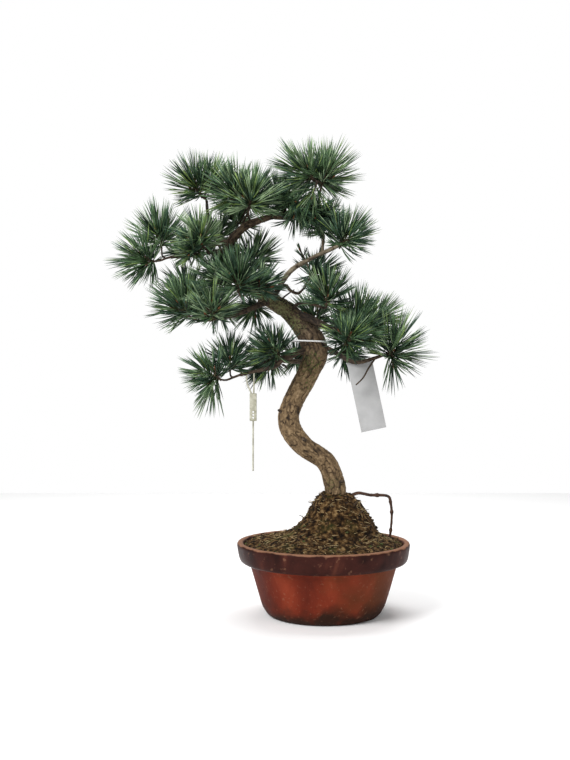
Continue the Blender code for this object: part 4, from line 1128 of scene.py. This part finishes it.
def grow_needles(roots, ways, axes, lengths, tints, drawer):
    """Thin three-sided needles that bend a little and cup towards their shoot's axis."""
    count = len(roots)
    side = unit(np.cross(ways, NEEDLE_CROSS))
    up = np.cross(ways, side)
    spin = drawer.uniform(0, 2 * math.pi, count)[:, None]
    sway = np.cos(spin) * side + np.sin(spin) * up
    droop = np.array((0, 0, NEEDLE_DROOP))
    bend = sway * drawer.uniform(0, NEEDLE_BEND, (count, 1)) - droop + axes * NEEDLE_CUP
    stations = np.array(NEEDLE_STATIONS)
    middle = (roots[:, None] + ways[:, None] * (lengths[:, None] * stations)[..., None]
              + bend[:, None] * (lengths[:, None] * stations ** 2)[..., None])
    corner_turns = np.arange(NEEDLE_SIDES) * 2 * math.pi / NEEDLE_SIDES
    turn = drawer.uniform(0, 2 * math.pi, count)[:, None] + corner_turns
    ring = np.cos(turn)[..., None] * side[:, None] + np.sin(turn)[..., None] * up[:, None]
    radii = NEEDLE_RADIUS * np.array(NEEDLE_PROFILE)
    rings = middle[:, :-1, None] + ring[:, None] * radii[None, :, None, None]
    points = np.concatenate([rings.reshape(count, -1, 3), middle[:, -1:]], axis=1)
    faces = needle_faces()
    all_faces = faces[None] + (np.arange(count) * points.shape[1])[:, None, None]
    along = np.tile(np.append(np.repeat(stations[:-1], NEEDLE_SIDES), 1.0), count)
    return points.reshape(-1, 3), all_faces.reshape(-1, 3), along, np.repeat(tints, len(faces))


def drawn_tint(weights, chance):
    return chance.choices(range(len(TINTS)), weights)[0]


def tuft_needles(bundles, tuft_tint, weights, chance):
    """Root, way, shoot's way, length and tint of each needle, fanned out of a tuft's bundles."""
    needles = []
    for root, way, length, axis in bundles:
        tint = tuft_tint if chance.random() < TUFT_TINT_SHARE else drawn_tint(weights, chance)
        for _ in range(BUNDLE_OF):
            fan = np.array([chance.uniform(-BUNDLE_FAN, BUNDLE_FAN) for _ in range(3)])
            own_length = length * chance.uniform(*NEEDLE_LENGTH_PLAY)
            own_tint = tint if chance.random() < BUNDLE_TINT_SHARE else drawn_tint(weights, chance)
            needles.append((root, unit(way + fan), axis, own_length, own_tint))
    return needles


tint_materials = [needle_material(name, colour) for name, colour in TINTS.items()]
chance = random.Random(NEEDLE_SEED)
needle_chance = np.random.default_rng(NEEDLE_SEED)
twig_lines, twig_radii = [], []
bud_lines = []
for name, (carrier, tufts) in MASSES.items():
    tufts = (*tufts, *SMALL_TUFTS.get(name, ()))
    for number, route in enumerate(twig_routes(carrier, tufts)):
        first_radius = STEM_RADIUS if number == 0 else TWIG_RADIUS
        twig_lines.append(smooth_route(route, TWIG_POINTS))
        twig_radii.append(np.linspace(first_radius, TWIG_RADIUS, TWIG_POINTS))
    weights = DEALS.get(name, USUAL)
    needles = []
    for tuft in tufts:
        tuft_tint = drawn_tint(weights, chance)
        shoots = tuft_shoots(tuft, chance)
        for foot, way, length, _, _ in shoots:
            tip = foot + way * length
            shoot_route = (foot - way * SHOOT_SUNK, foot + way * length / 2, tip)
            twig_lines.append(smooth_route(shoot_route, TWIG_POINTS))
            twig_radii.append(np.linspace(TWIG_RADIUS, TWIG_RADIUS * SHOOT_TAPER, TWIG_POINTS))
            bud_lines.append([tip + way * BUD_LENGTH * station for station in BUD_STATIONS])
        needles += tuft_needles(tuft_bundles(tuft, shoots, chance), tuft_tint, weights, chance)
    columns = [np.array(column) for column in zip(*needles)]
    points, faces, along, face_tints = grow_needles(*columns, needle_chance)
    mass = array_piece(name + "_fine", points, faces, tint_materials, {"along": along}, face_tints)
    settle(mass, "needles", name)

points, faces = threads(twig_lines, twig_radii, TWIG_SIDES)
light = 0.55 + 0.45 * lattice_noise(points, 420, 6)
twigs = array_piece("fine_twigs", points, faces, dark_bark, {"light": light})
settle(twigs, "bough_bark")
bud_scales = loose_material("bud_scales", BUD_COLOURS, 600)
bud_radii = np.tile(np.array(BUD_PROFILE) * BUD_RADIUS, (len(bud_lines), 1))
points, faces = threads(bud_lines, bud_radii, TWIG_SIDES)
buds = array_piece("winter_buds", points, faces, bud_scales)
settle(buds, "needles")


# The swing tag
# A plain card on the low right bough, pale grey-white and very slightly curled, with softened edges.

TAG_MIDDLE = (0.0600, 0.0030, 0.3010)
TAG_SIZE = (0.0352, 0.0007, 0.0980)
TAG_SLANT = math.radians(12)
# The card's ends stand this much ahead of its middle, and it is set back by a share of that
TAG_CURL = 0.0008
TAG_SET_BACK = 0.4
TAG_EDGE = 0.0003
TAG_CUTS = 12
TAG_LIGHT = (0.42, 0.42, 0.42)
TAG_DARK = (0.34, 0.34, 0.34)


def plain_material(name, light, dark, roughness, scale):
    """A smooth even finish with faint clouds and a very fine relief, as on card and moulded plastic."""
    plain = Finish(name, roughness)
    plain.colour(plain.ramp(plain.grain(scale, detail=5), ((0.35, dark), (0.62, light))))
    plain.relief(plain.grain(scale * 9, detail=4), 0.2, 0.0002)
    return plain.material


def rounded_box(name, size, middle, edge, cuts=0):
    """A box cut into smaller faces and with its edges rounded."""
    bpy.ops.object.select_all(action="DESELECT")
    bpy.ops.mesh.primitive_cube_add(size=1, location=(0, 0, 0))
    piece = bpy.context.object
    piece.name = piece.data.name = name
    piece.scale = size
    bpy.ops.object.transform_apply(location=False, rotation=False, scale=True)
    if cuts:
        bpy.ops.object.mode_set(mode="EDIT")
        bpy.ops.mesh.select_all(action="SELECT")
        bpy.ops.mesh.subdivide(number_cuts=cuts)
        bpy.ops.object.mode_set(mode="OBJECT")
    rounding = piece.modifiers.new("rounding", "BEVEL")
    rounding.width = edge
    rounding.segments = 3
    rounding.limit_method = "ANGLE"
    apply_modifier(piece, rounding)
    piece.location = middle
    return piece


tag = rounded_box("blank_swing_tag", TAG_SIZE, (0, 0, 0), TAG_EDGE, TAG_CUTS)
for vertex in tag.data.vertices:
    vertex.co.y += TAG_CURL * (2 * vertex.co.z / TAG_SIZE[2]) ** 2 - TAG_CURL * TAG_SET_BACK
tag.rotation_euler = (0, -TAG_SLANT, 0)
tag.location = TAG_MIDDLE
bpy.ops.object.transform_apply(location=True, rotation=True, scale=True)
tag.data.materials.append(plain_material("tag_card", TAG_LIGHT, TAG_DARK, 0.5, 40))
settle(tag, "tag_card", "swing_tag")


# The tie
# A thin white plastic tie goes once round the knuckle of the trunk, where the low boughs leave it.

TIE_RADIUS = 0.0010
TIE_STEPS = 72
TIE_SIDES = 10
TIE_LIGHT = (0.84, 0.84, 0.83)
TIE_DARK = (0.70, 0.70, 0.69)

tie_low, tie_high = (np.array(corner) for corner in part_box("trunk_tie"))
tie_middle = (tie_low + tie_high) / 2
tie_half = (tie_high - tie_low) / 2 - TIE_RADIUS
angles = np.linspace(0, 2 * math.pi, TIE_STEPS + 1)
ring = np.column_stack([np.cos(angles), np.sin(angles), -np.cos(angles)])
points, faces = threads([tie_middle + tie_half * ring], [np.full(TIE_STEPS + 1, TIE_RADIUS)], TIE_SIDES)
tie = array_piece("white_tie", points, faces, plain_material("tie_plastic", TIE_LIGHT, TIE_DARK, 0.35, 60))
settle(tie, "tie_plastic", "trunk_tie")


# The hanging label
# A narrow off-white plastic strip, clipped to the low left bough by two prongs, with small holes and a
# thin tail.

LABEL_MIDDLE = (-0.0962, -0.0160, 0.2850)
LABEL_SIZE = (0.0096, 0.0030, 0.0378)
LABEL_PRONGS = (
    ((-0.1050, -0.0160, 0.3325), (-0.1045, -0.0160, 0.3180), (-0.0975, -0.0160, 0.3010)),
    ((-0.0950, -0.0155, 0.3340), (-0.0952, -0.0160, 0.3180), (-0.0955, -0.0160, 0.3010)),
)
LABEL_TAIL = ((-0.0962, -0.0160, 0.2680), (-0.0963, -0.0160, 0.2300), (-0.0964, -0.0160, 0.1980))
LABEL_THREAD = 0.0011
LABEL_HOLE = 0.0013
LABEL_HOLES = (-0.0065, -0.0105, -0.0145)
LABEL_EDGE = 0.0008
LABEL_LIGHT = (0.48, 0.47, 0.38)
LABEL_DARK = (0.28, 0.27, 0.20)
HOLE_SIDES = 16
HOLE_DEPTH = 0.01
STRAND_POINTS = 20
STRAND_SIDES = 8

label = rounded_box("plastic_label", LABEL_SIZE, LABEL_MIDDLE, LABEL_EDGE)
for height in LABEL_HOLES:
    place = (LABEL_MIDDLE[0], LABEL_MIDDLE[1], LABEL_MIDDLE[2] + height)
    bpy.ops.mesh.primitive_cylinder_add(vertices=HOLE_SIDES, radius=LABEL_HOLE, depth=HOLE_DEPTH,
                                        location=place, rotation=(math.pi / 2, 0, 0))
    drill = bpy.context.object
    cut = label.modifiers.new("hole", "BOOLEAN")
    cut.operation = "DIFFERENCE"
    cut.object = drill
    apply_modifier(label, cut)
    bpy.data.objects.remove(drill, do_unlink=True)
bpy.ops.object.transform_apply(location=True, rotation=True, scale=True)
label_plastic = plain_material("label_plastic", LABEL_LIGHT, LABEL_DARK, 0.4, 130)
label.data.materials.append(label_plastic)
settle(label, "label_plastic", "hanging_label")
strands = [smooth_route(bends, STRAND_POINTS) for bends in (*LABEL_PRONGS, LABEL_TAIL)]
strand_radii = np.full((len(strands), STRAND_POINTS), LABEL_THREAD)
points, faces = threads(strands, strand_radii, STRAND_SIDES)
strand_piece = array_piece("label_prongs_and_tail", points, faces, label_plastic)
settle(strand_piece, "label_plastic")


# The studio
# A seamless white floor, with soft light from the upper left, the right and above. The world is a plain
# white backdrop that lights the object less than it shows.

FLOOR_SIZE = 3.0
FLOOR_WHITE = (0.93, 0.93, 0.93, 1)
CAMERA_PLACE = (-0.0528, -1.4100, 0.3220)
# The camera's focal length and the picture's height are in pixels, and the sensor is in millimetres
FOCAL_PIXELS = 1022
PICTURE_HEIGHT = 760
SENSOR = 36.0
WORLD_LIGHT = 0.42
BACKDROP_LIGHT = 1.0
# Each soft light: place, what it points at, size and power in watts
LIGHTS = (
    ((-1.30, -1.50, 1.70), (0.0, 0.0, 0.30), 1.0, 56),
    ((1.60, -1.20, 0.90), (0.0, 0.0, 0.30), 1.4, 9),
    ((0.00, 0.60, 2.00), (0.0, 0.0, 0.40), 1.5, 34),
)

bpy.ops.object.select_all(action="DESELECT")
bpy.ops.mesh.primitive_plane_add(size=FLOOR_SIZE, location=(0, 0, 0))
floor = bpy.context.object
floor.name = floor.data.name = "studio_floor"
floor_finish = Finish("studio_floor", roughness=0.9)
floor_finish.shader.inputs["Base Color"].default_value = FLOOR_WHITE
floor.data.materials.append(floor_finish.material)

for number, (place, target, size, power) in enumerate(LIGHTS):
    bpy.ops.object.light_add(type="AREA", location=place)
    lamp = bpy.context.object
    lamp.name = "soft_light_" + str(number + 1)
    lamp.data.size = size
    lamp.data.energy = power
    heading = np.array(target) - np.array(place)
    yaw = math.atan2(heading[1], heading[0])
    pitch = math.atan2(heading[2], math.hypot(heading[0], heading[1]))
    lamp.rotation_euler = (math.pi / 2 + pitch, 0, yaw - math.pi / 2)

world = bpy.data.worlds.new("studio_world")
world.use_nodes = True
sky = world.node_tree.nodes["Background"]
sky.inputs["Color"].default_value = (1, 1, 1, 1)
ray = world.node_tree.nodes.new("ShaderNodeLightPath")
level = world.node_tree.nodes.new("ShaderNodeMapRange")
level.inputs["To Min"].default_value = WORLD_LIGHT
level.inputs["To Max"].default_value = BACKDROP_LIGHT
world.node_tree.links.new(ray.outputs["Is Camera Ray"], level.inputs["Value"])
world.node_tree.links.new(level.outputs["Result"], sky.inputs["Strength"])
bpy.context.scene.world = world

bpy.ops.object.camera_add(location=CAMERA_PLACE, rotation=(math.pi / 2, 0, 0))
camera = bpy.context.object
camera.name = "photo_camera"
camera.data.sensor_width = SENSOR
camera.data.lens = FOCAL_PIXELS * SENSOR / PICTURE_HEIGHT
bpy.context.scene.camera = camera
bpy.context.scene.view_settings.view_transform = "Standard"
